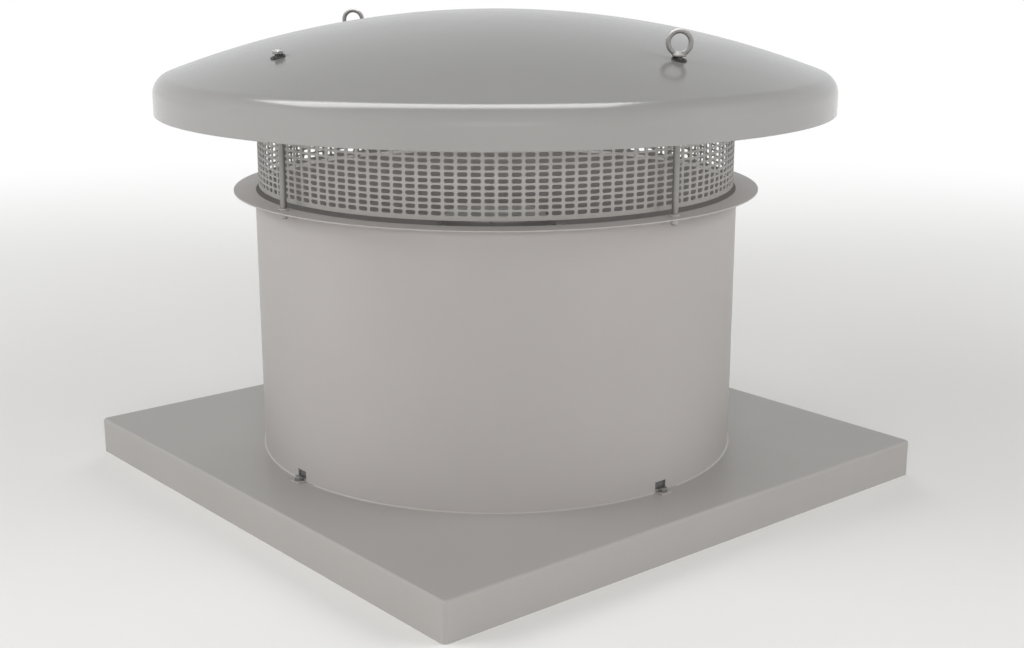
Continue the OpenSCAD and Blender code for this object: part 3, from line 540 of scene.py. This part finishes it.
# pads whose grey paints the shade seen through the foot windows
fit(makeWindowShadePads(), "windowShadePads", "seal_rubber", windowShadeGrey)
fasten(boltsAt, "footBolts", "foot_bolts", footSet["size"], footCircle, 4)
fasten(washersAt, "footWashers", "foot_washers", footSet["washerIn"], footSet["washerOut"], footCircle, 4)
fasten(nutsAt, "footNuts", "foot_nuts", footSet["size"], footCircle, 4)


# Rain dome: spun cap with a rounded edge and a straight skirt

domeSet = {"sheet": 1.5 * mm, "edgeRadius": 25.0 * mm, "skirt": 25.0 * mm, "steps": 256, "edgeSteps": 12,
           "capSteps": 44, "rodHole": 8.6 * mm, "holeReach": 20.0 * mm, "rim": 0.4 * mm}
rodLow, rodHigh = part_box("plain_rods")
rodCircle = rodHigh.y - rodHigh.x


def domeLine():  # the dome's outer outline: skirt, rounded edge, then a cap that meets it without a kink
    low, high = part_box("dome")
    radius = min(high.x, high.y)
    edge = domeSet["edgeRadius"]
    edgeCentre = (radius - edge, low.z + domeSet["skirt"])
    rise = high.z - edgeCentre[1]
    capRadius = (edgeCentre[0] ** 2 + rise ** 2 - edge ** 2) / (2 * (rise - edge))
    capCentre = high.z - capRadius
    meet = math.degrees(math.atan2(edgeCentre[1] - capCentre, edgeCentre[0]))
    outline = [(radius, low.z)] + arc(edgeCentre, edge, 0, meet, domeSet["edgeSteps"])
    outline += arc((0, capCentre), capRadius, meet, 90, domeSet["capSteps"])[1:-1] + [(0, high.z)]
    return outline, capRadius, capCentre


domeOutline, capRadius, capCentre = domeLine()
domeAtRod = capCentre + math.sqrt(capRadius ** 2 - rodCircle ** 2)
slope = math.asin(rodCircle / capRadius)


def makeDome():
    dome = turned(domeOutline, domeSet["steps"])
    modify(dome, "SOLIDIFY", thickness=domeSet["sheet"], offset=-1, use_even_offset=True)
    reach = domeSet["holeReach"]
    hole = rod(domeSet["rodHole"] / 2, domeAtRod - reach, domeAtRod + reach)
    carve(dome, ringOf(placed(hole, (rodCircle, 0, 0)), 4))
    return soften(dome, domeSet["rim"])


fit(makeDome(), "rainDome", "dome_sheet", domeCoat, "dome")


# Guard: one slotted sheet rolled into a ring

guardSet = {"columns": 128, "pitch": 7.5 * mm, "slotWide": 11.7 * mm, "slotTall": 5.1 * mm, "round": 1.9 * mm,
            "sheet": 1.2 * mm, "plainFoot": 5.5 * mm, "plainTop": 9.0 * mm}


def makeGuard():
    low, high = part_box("guard_bars")
    radius = min(high.x, high.y)
    columns, pitch = guardSet["columns"], guardSet["pitch"]
    firstSlot = low.z + guardSet["plainFoot"]
    rows = math.floor((high.z - guardSet["plainTop"] - firstSlot + pitch - guardSet["slotTall"]) / pitch)
    wide = 2 * radius * math.tan(math.pi / columns)
    place = (radius, 0, firstSlot + guardSet["slotTall"] / 2)
    flat = (0, math.pi / 2, 0)
    unpick()
    bpy.ops.mesh.primitive_plane_add(size=1, location=place, rotation=flat)
    guard = settle()
    openEdit(guard, "VERT")
    pickAll()
    bpy.ops.transform.resize(value=(1, wide, pitch), center_override=place)
    bpy.ops.mesh.primitive_plane_add(size=1, location=place, rotation=flat)
    bpy.ops.transform.resize(value=(1, guardSet["slotWide"], guardSet["slotTall"]), center_override=place)
    bpy.ops.mesh.bevel(offset=guardSet["round"], segments=2, affect="VERTICES")
    pickAll()
    bpy.ops.mesh.delete(type="ONLY_FACE")
    bpy.ops.mesh.select_mode(type="EDGE")
    pickAll()
    bpy.ops.mesh.bridge_edge_loops()
    pickAll()
    for _ in range(rows - 1):
        bpy.ops.mesh.duplicate_move(TRANSFORM_OT_translate={"value": (0, 0, pitch)})
    mergeAll()
    for end, top in ((high.z, True), (low.z, False)):
        bpy.ops.mesh.select_all(action="DESELECT")
        heights = [v.co.z for v in bmesh.from_edit_mesh(guard.data).verts]
        level = max(heights) if top else min(heights)
        pick(guard, "edges", lambda e: abs(mid(e).z - level) < mergeGap)
        pull((0, 0, end - level))
    pickAll()
    bpy.ops.mesh.spin(steps=columns - 1, angle=math.tau * (columns - 1) / columns, dupli=True,
                      center=(0, 0, 0), axis=(0, 0, 1))
    mergeAll()
    faceOut()
    guard.data.transform(Matrix.Rotation(math.pi / columns, 4, "Z"))
    modify(guard, "SOLIDIFY", thickness=guardSet["sheet"], offset=-1)
    activate(guard)
    bpy.ops.object.shade_smooth_by_angle(angle=math.radians(30))
    return guard


fit(makeGuard(), "slottedGuard", "guard_sheet", guardCoat, "guard_bars", "guard_hoops")


# Tie rods, lifting eyes and the fasteners on the dome and the flange

rodSet = {"size": 8, "threaded": 26.0 * mm, "eyeOuter": 16.0 * mm, "eyeBar": 3.0 * mm, "eyeTurn": -42.0,
          "neckFoot": 8.0 * mm, "neckHead": 4.8 * mm, "neckTall": 6.0 * mm, "forged": 0.6 * mm,
          "rivetHead": 6.5 * mm, "rivetBody": 5.5 * mm}
rubberSet = {"outer": 9.0 * mm, "hole": 4.8 * mm, "thick": 1.5 * mm, "middle": 0.8 * mm, "edge": 0.4 * mm}
underSet = {"outer": 8.0 * mm, "hole": 4.8 * mm, "thick": 1.6 * mm, "middle": -2.4 * mm, "edge": 0.2 * mm}
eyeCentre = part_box("eye_rods")[1].z - rodSet["eyeOuter"]
seatHeight = eyeCentre - rodSet["eyeOuter"]


def tieRod(high):  # drawn bar, its upper end cut with a thread
    return soften(threadedBar(rodSet["size"], rodLow.z, high, high - rodSet["threaded"], high - mm), 0)


def makeEyeRods():
    unpick()
    bar = rodSet["eyeBar"]
    bpy.ops.mesh.primitive_torus_add(major_radius=rodSet["eyeOuter"] - bar, minor_radius=bar,
                                     major_segments=64, minor_segments=24, location=(0, 0, eyeCentre),
                                     rotation=(math.pi / 2, 0, math.radians(rodSet["eyeTurn"] + 90)))
    eye = settle()
    foot, head, tall = rodSet["neckFoot"], rodSet["neckHead"], rodSet["neckTall"]
    neck = turned([(0, seatHeight), (foot, seatHeight), (foot, seatHeight + tall / 3),
                   (head, seatHeight + tall), (0, seatHeight + tall)], 48)
    carve(eye, neck, "UNION")
    modify(eye, "REMESH", mode="VOXEL", voxel_size=rodSet["forged"])
    modify(eye, "SMOOTH", factor=0.5, iterations=6)
    activate(eye)
    bpy.ops.object.shade_smooth()
    both = joined(eye, tieRod(seatHeight + mm))
    return ringOf(placed(both, (rodCircle, 0, 0)), 2)


def makePlainRods():
    return ringOf(placed(tieRod(rodHigh.z), (rodCircle, 0, 0)), 2, 90)


def slopingWashers(washerSet):  # square to the dome, centred on the rods, its middle above or below the top face
    half, middle = washerSet["thick"] / 2, washerSet["middle"]
    washer = soften(tube(washerSet["hole"], washerSet["outer"], -half, half, 48), washerSet["edge"])
    drop = Matrix.Rotation(slope, 4, "Y") @ Matrix.Translation((-middle * math.tan(slope), 0, middle))
    return ringOf(placed(washer, (rodCircle, 0, domeAtRod), drop), 4)


def makeRivetNuts():  # blind nuts in the flange, their thin heads painted with it
    low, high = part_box("rivet_nuts")
    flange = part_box("casing")[1].z
    bore, body, head = rodSet["size"] / 2 * mm + play, rodSet["rivetBody"], rodSet["rivetHead"]
    bulge = flange - casingSet["sheet"]
    neck, waist = body - 0.5 * mm, body - 0.3 * mm
    nut = turned([(bore, low.z), (neck, low.z), (neck, bulge - 4 * mm), (body, bulge - 3 * mm), (body, bulge - mm),
                  (waist, bulge), (waist, flange), (head, flange), (head - 0.4 * mm, high.z), (bore, high.z)],
                 40, closed=True)
    return ringOf(placed(soften(nut, 0), (rodCircle, 0, 0)), 4)


fit(makeEyeRods(), "liftingEyeRods", "rod_steel", rodZinc, "eye_rods")
fit(makePlainRods(), "plainTieRods", "rod_steel", rodZinc, "plain_rods")
fit(makeRivetNuts(), "flangeRivetNuts", "casing_sheet", casingCoat, "rivet_nuts")
fit(slopingWashers(rubberSet), "domeRubberWashers", "seal_rubber", washerRubber, "rubber_washers")
fit(slopingWashers(underSet), "domeUnderWashers", "zinc_fasteners", zincBright, "dome_under_washers")
fasten(nutsAt, "domeTopNuts", "dome_top_nuts", rodSet["size"], rodCircle, 2, 90)
fasten(nutsAt, "domeUnderNuts", "dome_under_nuts", rodSet["size"], rodCircle, 4)


# Motor support: a round plate on four arms that end in curved pads on the casing

supportSet = {"plate": 118.0 * mm, "hole": 65.1 * mm, "boltCircle": 82.5 * mm, "boltHole": 5.3 * mm,
              "boltSize": 10, "washerOut": 10.0 * mm, "edge": 0.6 * mm, "slotStart": 106.0 * mm,
              "armThick": 5.0 * mm, "armEnd": 311.9 * mm, "padIn": 311.95 * mm, "padOut": 314.95 * mm,
              "padWide": 60.0 * mm}
motorCircle = supportSet["boltCircle"]


def makeSupportPlate():
    low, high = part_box("motor_support")
    plate = tube(supportSet["hole"], supportSet["plate"], low.z, high.z, 128)
    holes = ringOf(placed(rod(supportSet["boltHole"], 0, 1), (motorCircle, 0, 0)), 4)
    half = supportSet["armThick"] / 2 + play
    slots = ringOf(block((supportSet["slotStart"], -half, 0), (2 * supportSet["plate"], half, 1)), 4, 45)
    return soften(carve(plate, joined(holes, slots)), supportSet["edge"])


def makeSupportArms():
    low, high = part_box("support_arms")
    half = supportSet["armThick"] / 2
    arm = block((supportSet["slotStart"] + play, -half, low.z), (supportSet["armEnd"], half, high.z))
    return ringOf(soften(arm, supportSet["edge"]), 4, 45)


def makeSupportPads():
    low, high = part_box("support_pads")
    half = supportSet["padWide"] / 2
    pad = tube(supportSet["padIn"], supportSet["padOut"], low.z, high.z, 256)
    carve(pad, block((0, -half, 0), (1, half, 1)), "INTERSECT")
    return ringOf(soften(pad, supportSet["edge"]), 4, 45)


fit(makeSupportPlate(), "motorSupportPlate", "support_paint", supportCoat, "motor_support")
fit(makeSupportArms(), "motorSupportArms", "support_paint", supportCoat, "support_arms")
fit(makeSupportPads(), "motorSupportPads", "support_paint", supportCoat, "support_pads")
fasten(boltsAt, "motorBolts", "motor_bolts", supportSet["boltSize"], motorCircle, 4)
fasten(washersAt, "motorWashers", "motor_washers", supportSet["boltHole"], supportSet["washerOut"], motorCircle, 4)
fasten(nutsAt, "motorNuts", "motor_nuts", supportSet["boltSize"], motorCircle, 4)


# Motor: two end shields and a finned frame, outlines in millimetres

motorSet = {"edge": 0.7 * mm, "steps": 112, "frameIn": 66.0 * mm, "frameOut": 71.5 * mm, "fins": 28,
            "finThick": 3.0 * mm, "finReach": 80.5 * mm, "finTaper": (1, 0.6, 0.97), "frameEdge": 0.4 * mm,
            "padHalf": 32.0 * mm, "padLow": 253.0 * mm, "padHigh": 317.0 * mm, "screwCircle": 68.75 * mm,
            "screwSize": 3}
driveOutline = [(11.5, 202.5), (65, 202.5), (65, 206), (100, 206), (100, 216), (71.5, 216), (71.5, 224),
                (65.95, 224), (65.95, 230), (57.95, 230), (57.95, 224), (30.5, 224), (30.5, 236), (23.55, 236),
                (23.55, 220), (11.5, 220)]
rearOutline = [(0, 358), (30.5, 358), (34.5, 354), (71.5, 354), (71.5, 346), (65.95, 346), (65.95, 340),
               (57.95, 340), (57.95, 346), (30.5, 346), (30.5, 332), (23.55, 332), (23.55, 348.05), (0, 348.05)]


def inMetres(outline):
    return [(radius * mm, height * mm) for radius, height in outline]


def makeDriveShield():
    shield = turned(inMetres(driveOutline), motorSet["steps"], closed=True)
    hole = placed(rod(supportSet["boltHole"], 0, 1), (motorCircle, 0, 0))
    return soften(carve(shield, ringOf(hole, 4)), motorSet["edge"])


def makeRearShield():
    return soften(turned(inMetres(rearOutline), motorSet["steps"]), motorSet["edge"])


def makeFrame():
    low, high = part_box("motor_frame")
    thick, outer = motorSet["finThick"], motorSet["frameOut"]
    body = tube(motorSet["frameIn"], outer, low.z, high.z, motorSet["steps"])
    fin = block((outer - thick, -thick / 2, low.z + thick), (motorSet["finReach"], thick / 2, high.z - thick))
    openEdit(fin, "FACE")
    pick(fin, "faces", lambda f: f.normal.x > 0.9)  # cast fins thin out to their edge
    bpy.ops.transform.resize(value=motorSet["finTaper"], center_override=(0, 0, (low.z + high.z) / 2))
    leaveEdit()
    half = motorSet["padHalf"]
    pad = block((-half, outer - thick, motorSet["padLow"]), (half, high.y, motorSet["padHigh"]))
    carve(body, ringOf(fin, motorSet["fins"], 180 / motorSet["fins"]), "UNION")
    carve(body, pad, "UNION")
    return soften(body, motorSet["frameEdge"])


def makeShieldScrews(node):
    low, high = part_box(node)
    tall = panTall(motorSet["screwSize"])
    one = screw(motorSet["screwSize"], high.z - low.z - tall)
    return ringOf(placed(one, (motorSet["screwCircle"], 0, high.z - tall)), 4, 45)


fit(makeDriveShield(), "driveEndShield", "motor_castings", motorPaint, "drive_end_shield")
fit(makeFrame(), "finnedMotorFrame", "motor_castings", motorPaint, "motor_frame")
fit(makeRearShield(), "rearEndShield", "motor_castings", motorPaint, "rear_end_shield")
fasten(makeShieldScrews, "rearShieldScrews", "shield_screws")


# Terminal box on the motor's side, with its lid and cable gland

boxSet = {"wall": 3.0 * mm, "corner": 4.0 * mm, "edge": 0.4 * mm, "boss": 4.0 * mm, "screwX": 33.0 * mm,
          "screwZ": 31.0 * mm, "rim": 13.0 * mm, "dish": 0.8 * mm, "screwSize": 4}
glandSet = {"bore": 5.0 * mm, "body": 10.0 * mm, "across": 25.0 * mm, "collar": 6.0 * mm, "edge": 0.2 * mm,
            "crownFrom": 0.55, "crownEnd": 0.42}
outward = Matrix.Rotation(-math.pi / 2, 4, "X")  # +Z to +Y, the way the box opens
sideways = Matrix.Rotation(-math.pi / 2, 4, "Y")  # +Z to -X, the way the cable enters


def rounded(slab):  # rounds a block's four edges along Y
    openEdit(slab, "EDGE")
    pick(slab, "edges", lambda e: abs(e.verts[0].co.y - e.verts[1].co.y) > mm)
    bpy.ops.mesh.bevel(offset=boxSet["corner"], segments=5, affect="EDGES")
    leaveEdit()
    return slab


def makeTerminalBox():  # two crossing pockets leave a screw boss in each corner
    low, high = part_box("terminal_box")
    body = rounded(block(low, high))
    wall = boxSet["wall"]
    inset = wall + 2 * boxSet["boss"]
    for x, z in ((wall, inset), (inset, wall)):
        carve(body, block((low.x + x, low.y + wall, low.z + z), (high.x - x, high.y + wall, high.z - z)))
    return soften(body, boxSet["edge"])


def makeTerminalLid():
    low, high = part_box("terminal_lid")
    lid = block(low, high)
    openEdit(lid, "FACE")
    pick(lid, "faces", lambda f: f.normal.y > 0.9)
    bpy.ops.mesh.inset(thickness=boxSet["rim"], depth=0)
    bpy.ops.mesh.inset(thickness=boxSet["dish"], depth=-boxSet["dish"])
    leaveEdit()
    return soften(rounded(lid), boxSet["edge"])


def makeLidScrews(node):
    low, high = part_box(node)
    tall = panTall(boxSet["screwSize"])
    one = placed(screw(boxSet["screwSize"], high.y - low.y - tall), (0, high.y - tall, 0), outward)
    boxLow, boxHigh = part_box("terminal_box")
    middle, across, up = (boxLow.z + boxHigh.z) / 2, boxSet["screwX"], boxSet["screwZ"]
    screws = [copied(one, Matrix.Translation((x, 0, middle + z))) for x in (-across, across) for z in (-up, up)]
    bpy.data.objects.remove(one)
    return joined(*screws)


def atGland(piece, node):  # lays a piece on the gland's axis, its foot at the node's inner end
    low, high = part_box(node)
    return placed(piece, (high.x, (low.y + high.y) / 2, (low.z + high.z) / 2), sideways)


def makeGlandBody():
    low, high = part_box("cable_gland")
    bore, length = glandSet["bore"], high.x - low.x
    step = high.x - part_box("gland_seal")[0].x
    body = tube(bore, glandSet["body"], 0, length, 48)
    carve(body, placed(hexBody(glandSet["across"], glandSet["collar"]), (0, 0, step)), "UNION")
    carve(body, rod(bore, -length, 2 * length, 48))
    return atGland(soften(body, glandSet["edge"]), "cable_gland")


def makeGlandCap():
    low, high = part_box("gland_nut")
    length, across = high.x - low.x, glandSet["across"]
    cap = hexBody(across, length, 2 * (glandSet["body"] + play))
    crown = turned([(0, 0), (across, 0), (across, glandSet["crownFrom"] * length),
                    (glandSet["crownEnd"] * across, length), (0, length)], 48)
    return atGland(soften(carve(cap, crown, "INTERSECT"), glandSet["edge"]), "gland_nut")


fit(makeTerminalBox(), "terminalBox", "motor_castings", motorPaint, "terminal_box")
fit(makeTerminalLid(), "terminalLid", "motor_castings", motorPaint, "terminal_lid")
fasten(makeLidScrews, "terminalLidScrews", "lid_screws")
fit(makeGlandBody(), "cableGlandBody", "gland_plastic", glandNylon, "cable_gland")
fit(makeGlandCap(), "cableGlandCap", "gland_plastic", glandNylon, "gland_nut")


# Impeller: shaft, split hub and six twisted blades

hubSet = {"radius": 95.0 * mm, "rimIn": 70.0 * mm, "web": 12.0 * mm, "boss": 32.0 * mm, "bore": 9.55 * mm,
          "edge": 0.8 * mm, "boltCircle": 48.0 * mm, "boltHole": 4.3 * mm, "boltTurn": 30.0, "shank": 13.0 * mm,
          "shankIn": 73.0 * mm, "shankOut": 98.0 * mm, "collar": 18.0 * mm, "collarIn": 78.5 * mm,
          "collarOut": 86.5 * mm, "boltSize": 8, "bolts": 6, "washerOut": 20.0 * mm}
bladeSet = {"count": 6, "start": 97.0 * mm, "chord": 120.0 * mm, "camber": 9.0 * mm, "thick": 9.0 * mm,
            "pitch": 34.0, "twist": 13.0, "taper": 0.8, "chordSteps": 14, "spanSteps": 14, "edge": 0.5 * mm}
shaftSet = {"end": 9.5 * mm, "seat": 9.95 * mm, "core": 13.0 * mm, "tip": 0.8 * mm, "seatFrom": 219.0 * mm,
            "coreFrom": 234.0 * mm, "coreTo": 334.0 * mm, "edge": 0.2 * mm, "lip": 2.0 * mm, "sealEdge": 0.3 * mm}
hubPlane = (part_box("hub_upper")[0].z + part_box("hub_lower")[1].z) / 2
alongX = Matrix.Rotation(math.pi / 2, 4, "Y")  # +Z to +X


def bladeShank(room):  # round root with a collar, along +X at the hub's parting plane
    shank, collar = hubSet["shank"] + room, hubSet["collar"] + room
    inner, outer = hubSet["collarIn"] - room, hubSet["collarOut"] + room
    outline = [(0, hubSet["shankIn"]), (shank, hubSet["shankIn"]), (shank, inner), (collar, inner),
               (collar, outer), (shank, outer), (shank, hubSet["shankOut"]), (0, hubSet["shankOut"])]
    return placed(turned(outline, 48), (0, 0, hubPlane), alongX)


def makeHubHalf(node, upward):
    low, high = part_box(node)
    face, end = (low.z, high.z) if upward else (high.z, low.z)
    web = face + hubSet["web"] * (1 if upward else -1)
    bore, boss, rim, radius = hubSet["bore"], hubSet["boss"], hubSet["rimIn"], hubSet["radius"]
    half = turned([(bore, face), (radius, face), (radius, end), (rim, end), (rim, web), (boss, web), (boss, end),
                   (bore, end)], 112, closed=True)
    hole = placed(rod(hubSet["boltHole"], 0, 1), (hubSet["boltCircle"], 0, 0))
    carve(half, ringOf(hole, hubSet["bolts"], hubSet["boltTurn"]))
    carve(half, ringOf(bladeShank(play), bladeSet["count"]))
    return soften(half, hubSet["edge"])


def bladeSection():  # cambered section with a rounded nose, about the blade's own axis
    steps, camber = bladeSet["chordSteps"], bladeSet["camber"]
    upper, lower = [], []
    for i in range(steps + 1):
        t = (1 - math.cos(math.pi * i / steps)) / 2  # closer together at the nose and the tail
        across = (t - 0.5) * bladeSet["chord"]
        bow = 4 * camber * t * (1 - t) - camber / 2
        half = bladeSet["thick"] / 2 * (2.6 * math.sqrt(t) * (1 - t) + 0.18)
        upper.append((across, bow + half))
        lower.append((across, bow - half))
    return upper + lower[::-1]


def makeBlade():
    start, steps, taper = bladeSet["start"], bladeSet["spanSteps"], bladeSet["taper"]
    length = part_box("blade_1")[1].x - start
    tilt = Matrix.Rotation(math.radians(bladeSet["pitch"]), 3, "X")
    points = [tilt @ Vector((0, across, rise)) + Vector((start, 0, hubPlane)) for across, rise in bladeSection()]
    blade = drawLine(points + points[:1])
    bpy.ops.mesh.edge_face_add()
    scales = [1 - (1 - taper) * i / steps for i in range(steps + 1)]
    for i in range(steps):
        middle = (start + length * (i + 1) / steps, 0, hubPlane)
        shrink = scales[i + 1] / scales[i]
        pull((length / steps, 0, 0))
        bpy.ops.transform.rotate(value=math.radians(bladeSet["twist"] / steps), orient_axis="X",
                                 center_override=middle)
        bpy.ops.transform.resize(value=(1, shrink, shrink), center_override=middle)
    pickAll()
    faceOut()
    return soften(carve(blade, bladeShank(0), "UNION"), bladeSet["edge"])


def makeShaft():
    low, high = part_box("shaft")
    end, seat, core, tip = shaftSet["end"], shaftSet["seat"], shaftSet["core"], shaftSet["tip"]
    outline = [(0, low.z), (end - tip, low.z), (end, low.z + tip), (end, shaftSet["seatFrom"]),
               (seat, shaftSet["seatFrom"]), (seat, shaftSet["coreFrom"]), (core, shaftSet["coreFrom"]),
               (core, shaftSet["coreTo"]), (seat, shaftSet["coreTo"]), (seat, high.z - tip), (seat - tip, high.z),
               (0, high.z)]
    return soften(turned(outline, 64), shaftSet["edge"])


def makeShaftSeal():  # rubber ring whose flared lip throws water off
    low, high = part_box("shaft_seal")
    bore, lip, tall = shaftSet["end"] + play, high.x, high.z - low.z
    body = lip - shaftSet["lip"]
    outline = [(bore, low.z), (body, low.z), (body, low.z + tall / 2), (lip, high.z), (body, high.z),
               ((bore + lip) / 2, high.z - tall / 3), (bore, high.z - tall / 3)]
    return soften(turned(outline, 64, closed=True), shaftSet["sealEdge"])


fit(makeShaft(), "motorShaft", "shaft_steel", shaftSteel, "shaft", body="impeller")
fit(makeShaftSeal(), "shaftLipSeal", "seal_rubber", washerRubber, "shaft_seal", body="impeller")
fit(makeHubHalf("hub_upper", True), "upperHubHalf", "hub_alloy", hubAlloy, "hub_upper", body="impeller")
fit(makeHubHalf("hub_lower", False), "lowerHubHalf", "hub_alloy", hubAlloy, "hub_lower", body="impeller")
hubRing = hubSet["boltSize"], hubSet["boltCircle"], hubSet["bolts"], hubSet["boltTurn"]
fasten(boltsAt, "hubBolts", "hub_bolts", *hubRing, False, body="impeller")
fasten(nutsAt, "hubNuts", "hub_nuts", *hubRing, body="impeller")
fasten(washersAt, "shaftEndWasher", "retaining_washer", hubSet["boltHole"], hubSet["washerOut"], 0, 1,
       body="impeller")
fasten(boltsAt, "shaftEndBolt", "retaining_bolt", hubSet["boltSize"], 0, 1, 0, False, body="impeller")
firstBlade = makeBlade()
for number in range(bladeSet["count"]):
    turn = Matrix.Rotation(math.tau * number / bladeSet["count"], 4, "Z")
    fit(copied(firstBlade, turn), "alloyBlade%d" % (number + 1), "blade_alloy", bladeAlloy,
        "blade_%d" % (number + 1), body="impeller")
bpy.data.objects.remove(firstBlade)


# CAD nodes that stay as they are, with a better finish

keptFinishes = {"guard_clips": zincBright, "stator_core": coreSteel, "stator_windings": windingCopper,
                "rotor_core": coreSteel, "bearing_outer_rings": bearingSteel, "bearing_inner_rings": bearingSteel,
                "bearing_cages": cageBrass, "bearing_balls": bearingSteel, "terminal_block": glandNylon,
                "lid_gasket": washerRubber, "gland_seal": washerRubber, "shaft_key": shaftSteel}
for node, finish in keptFinishes.items():
    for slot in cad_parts[node].material_slots:
        slot.material = finish
print("kept nodes finished:", len(keptFinishes))


# Camera, floor and light

cameraSet = {"place": (1.53184, -1.25760, 0.71009), "along": (-0.741934, 0.622385, -0.249341), "lens": 52.53,
             "sensor": 36.0}
stageSet = {"floorHalf": 80.0, "floor": "EBEAE8", "rough": 0.85, "shine": 0.1, "fadeStart": 0.75, "fadeEnd": 3.2,
            "sky": "F4F5F6", "fill": 0.13}
fanMiddle = (0, 0, 0.3)  # what a lamp without an aim of its own looks at
lampSet = {  # azimuth and height angle in degrees and distance in metres from the aim, sizes in metres
    "frontSoftbox": {"from": (-39.4, 12.5, 3.0), "size": (1.4, 0.9), "watts": 45.0},
    "leftSoftbox": {"from": (-122.0, 30.0, 3.0), "size": (2.0, 1.2), "watts": 48.0},
    "rightSoftbox": {"from": (43.0, 30.0, 3.0), "size": (2.0, 1.2), "watts": 40.0},
    "backSoftbox": {"from": (140.6, 20.0, 3.0), "size": (2.0, 1.2), "watts": 24.0},
    "leftLow": {"from": (-105.0, 7.0, 3.0), "size": (2.0, 0.6), "watts": 13.5},
    "rightLow": {"from": (27.0, 7.0, 3.0), "size": (2.0, 0.6), "watts": 11.5},
}
stripSet = {"from": (140.6, 84.0, 2.45), "aim": (-0.38, -0.46, 0.3), "size": (3.0, 1.2), "watts": 84.0}
eaveSet = {"from": (0, 90.0, 0.1), "aim": (0, 0, 0.395), "size": (0.86, 0.86), "watts": 1.2}


def makeCamera():
    data = bpy.data.cameras.new("photoView")
    data.lens = cameraSet["lens"]
    data.sensor_width = cameraSet["sensor"]
    camera = bpy.data.objects.new("photoView", data)
    camera.location = cameraSet["place"]
    camera.rotation_mode = "QUATERNION"
    camera.rotation_quaternion = Vector(cameraSet["along"]).to_track_quat("-Z", "Y")
    bpy.context.collection.objects.link(camera)
    bpy.context.scene.camera = camera


def seenRay(tree):  # 1 for rays that show the backdrop: to the camera, in a reflection or through glass
    path = addNode(tree, "ShaderNodeLightPath")
    some = addNode(tree, "ShaderNodeMath", {"operation": "MAXIMUM"},
                   {0: path.outputs["Is Camera Ray"], 1: path.outputs["Is Glossy Ray"]})
    return addNode(tree, "ShaderNodeMath", {"operation": "MAXIMUM"},
                   {0: some.outputs[0], 1: path.outputs["Is Transmission Ray"]}).outputs[0]


def makeFloor():
    # Matt painted studio floor: pale near the object, where it takes the shadow, and white further out
    unpick()
    bpy.ops.mesh.primitive_plane_add(size=2 * stageSet["floorHalf"])
    floor = bpy.context.object
    floor.name = "studioFloor"
    finish, tree, shader, place = newFinish("paleStudioFloor")
    shader.inputs["Base Color"].default_value = linear(stageSet["floor"])
    shader.inputs["Roughness"].default_value = stageSet["rough"]
    shader.inputs["Specular IOR Level"].default_value = stageSet["shine"]
    reach = addNode(tree, "ShaderNodeVectorMath", {"operation": "LENGTH"}, {0: place})
    ends = {"From Min": stageSet["fadeStart"], "From Max": stageSet["fadeEnd"], "interpolation_type": "SMOOTHSTEP"}
    fade = addNode(tree, "ShaderNodeMapRange", ends, {"Value": reach.outputs["Value"]})
    shown = addNode(tree, "ShaderNodeMath", {"operation": "MULTIPLY"},
                    {0: fade.outputs["Result"], 1: seenRay(tree)})
    white = addNode(tree, "ShaderNodeEmission", {"Strength": 1.0})
    blend = addNode(tree, "ShaderNodeMixShader", {},
                    {0: shown.outputs[0], 1: shader.outputs[0], 2: white.outputs[0]})
    tree.links.new(blend.outputs[0], tree.nodes["Material Output"].inputs["Surface"])
    floor.data.materials.append(finish)


def makeSky():  # even fill for the light, plain white where it is seen
    world = bpy.data.worlds.new("studioSky")
    world.use_nodes = True
    tree = world.node_tree
    sky = tree.nodes["Background"]
    sky.inputs["Color"].default_value = linear(stageSet["sky"])
    shown = addNode(tree, "ShaderNodeMix", {2: stageSet["fill"], 3: 1.0}, {0: seenRay(tree)})
    tree.links.new(shown.outputs[0], sky.inputs["Strength"])
    bpy.context.scene.world = world


def addLamp(name, lamp):
    azimuth, rise = [math.radians(angle) for angle in lamp["from"][:2]]
    away = Vector((math.cos(azimuth) * math.cos(rise), math.sin(azimuth) * math.cos(rise), math.sin(rise)))
    data = bpy.data.lights.new(name, "AREA")
    data.shape = "RECTANGLE"
    data.size, data.size_y = lamp["size"]
    data.energy = lamp["watts"]
    light = bpy.data.objects.new(name, data)
    light.location = Vector(lamp.get("aim", fanMiddle)) + away * lamp["from"][2]
    light.rotation_euler = (-away).to_track_quat("-Z", "Y").to_euler()
    bpy.context.collection.objects.link(light)
    return light


def makeLamps():
    for name, lamp in lampSet.items():
        addLamp(name, lamp).visible_glossy = False  # gloss shows the white room and the strip, not these boxes
    strip = addLamp("overheadStrip", stripSet)  # draws the line of light on the dome's edge
    strip.visible_diffuse = False
    eave = addLamp("underDomeFill", eaveSet)  # lifts the shade under the dome and behind the guard's slots
    eave.data.shape = "ELLIPSE"
    eave.visible_camera = eave.visible_glossy = False


makeCamera()
makeFloor()
makeSky()
makeLamps()
bpy.context.scene.view_settings.view_transform = "Standard"
print("camera, floor and light set")
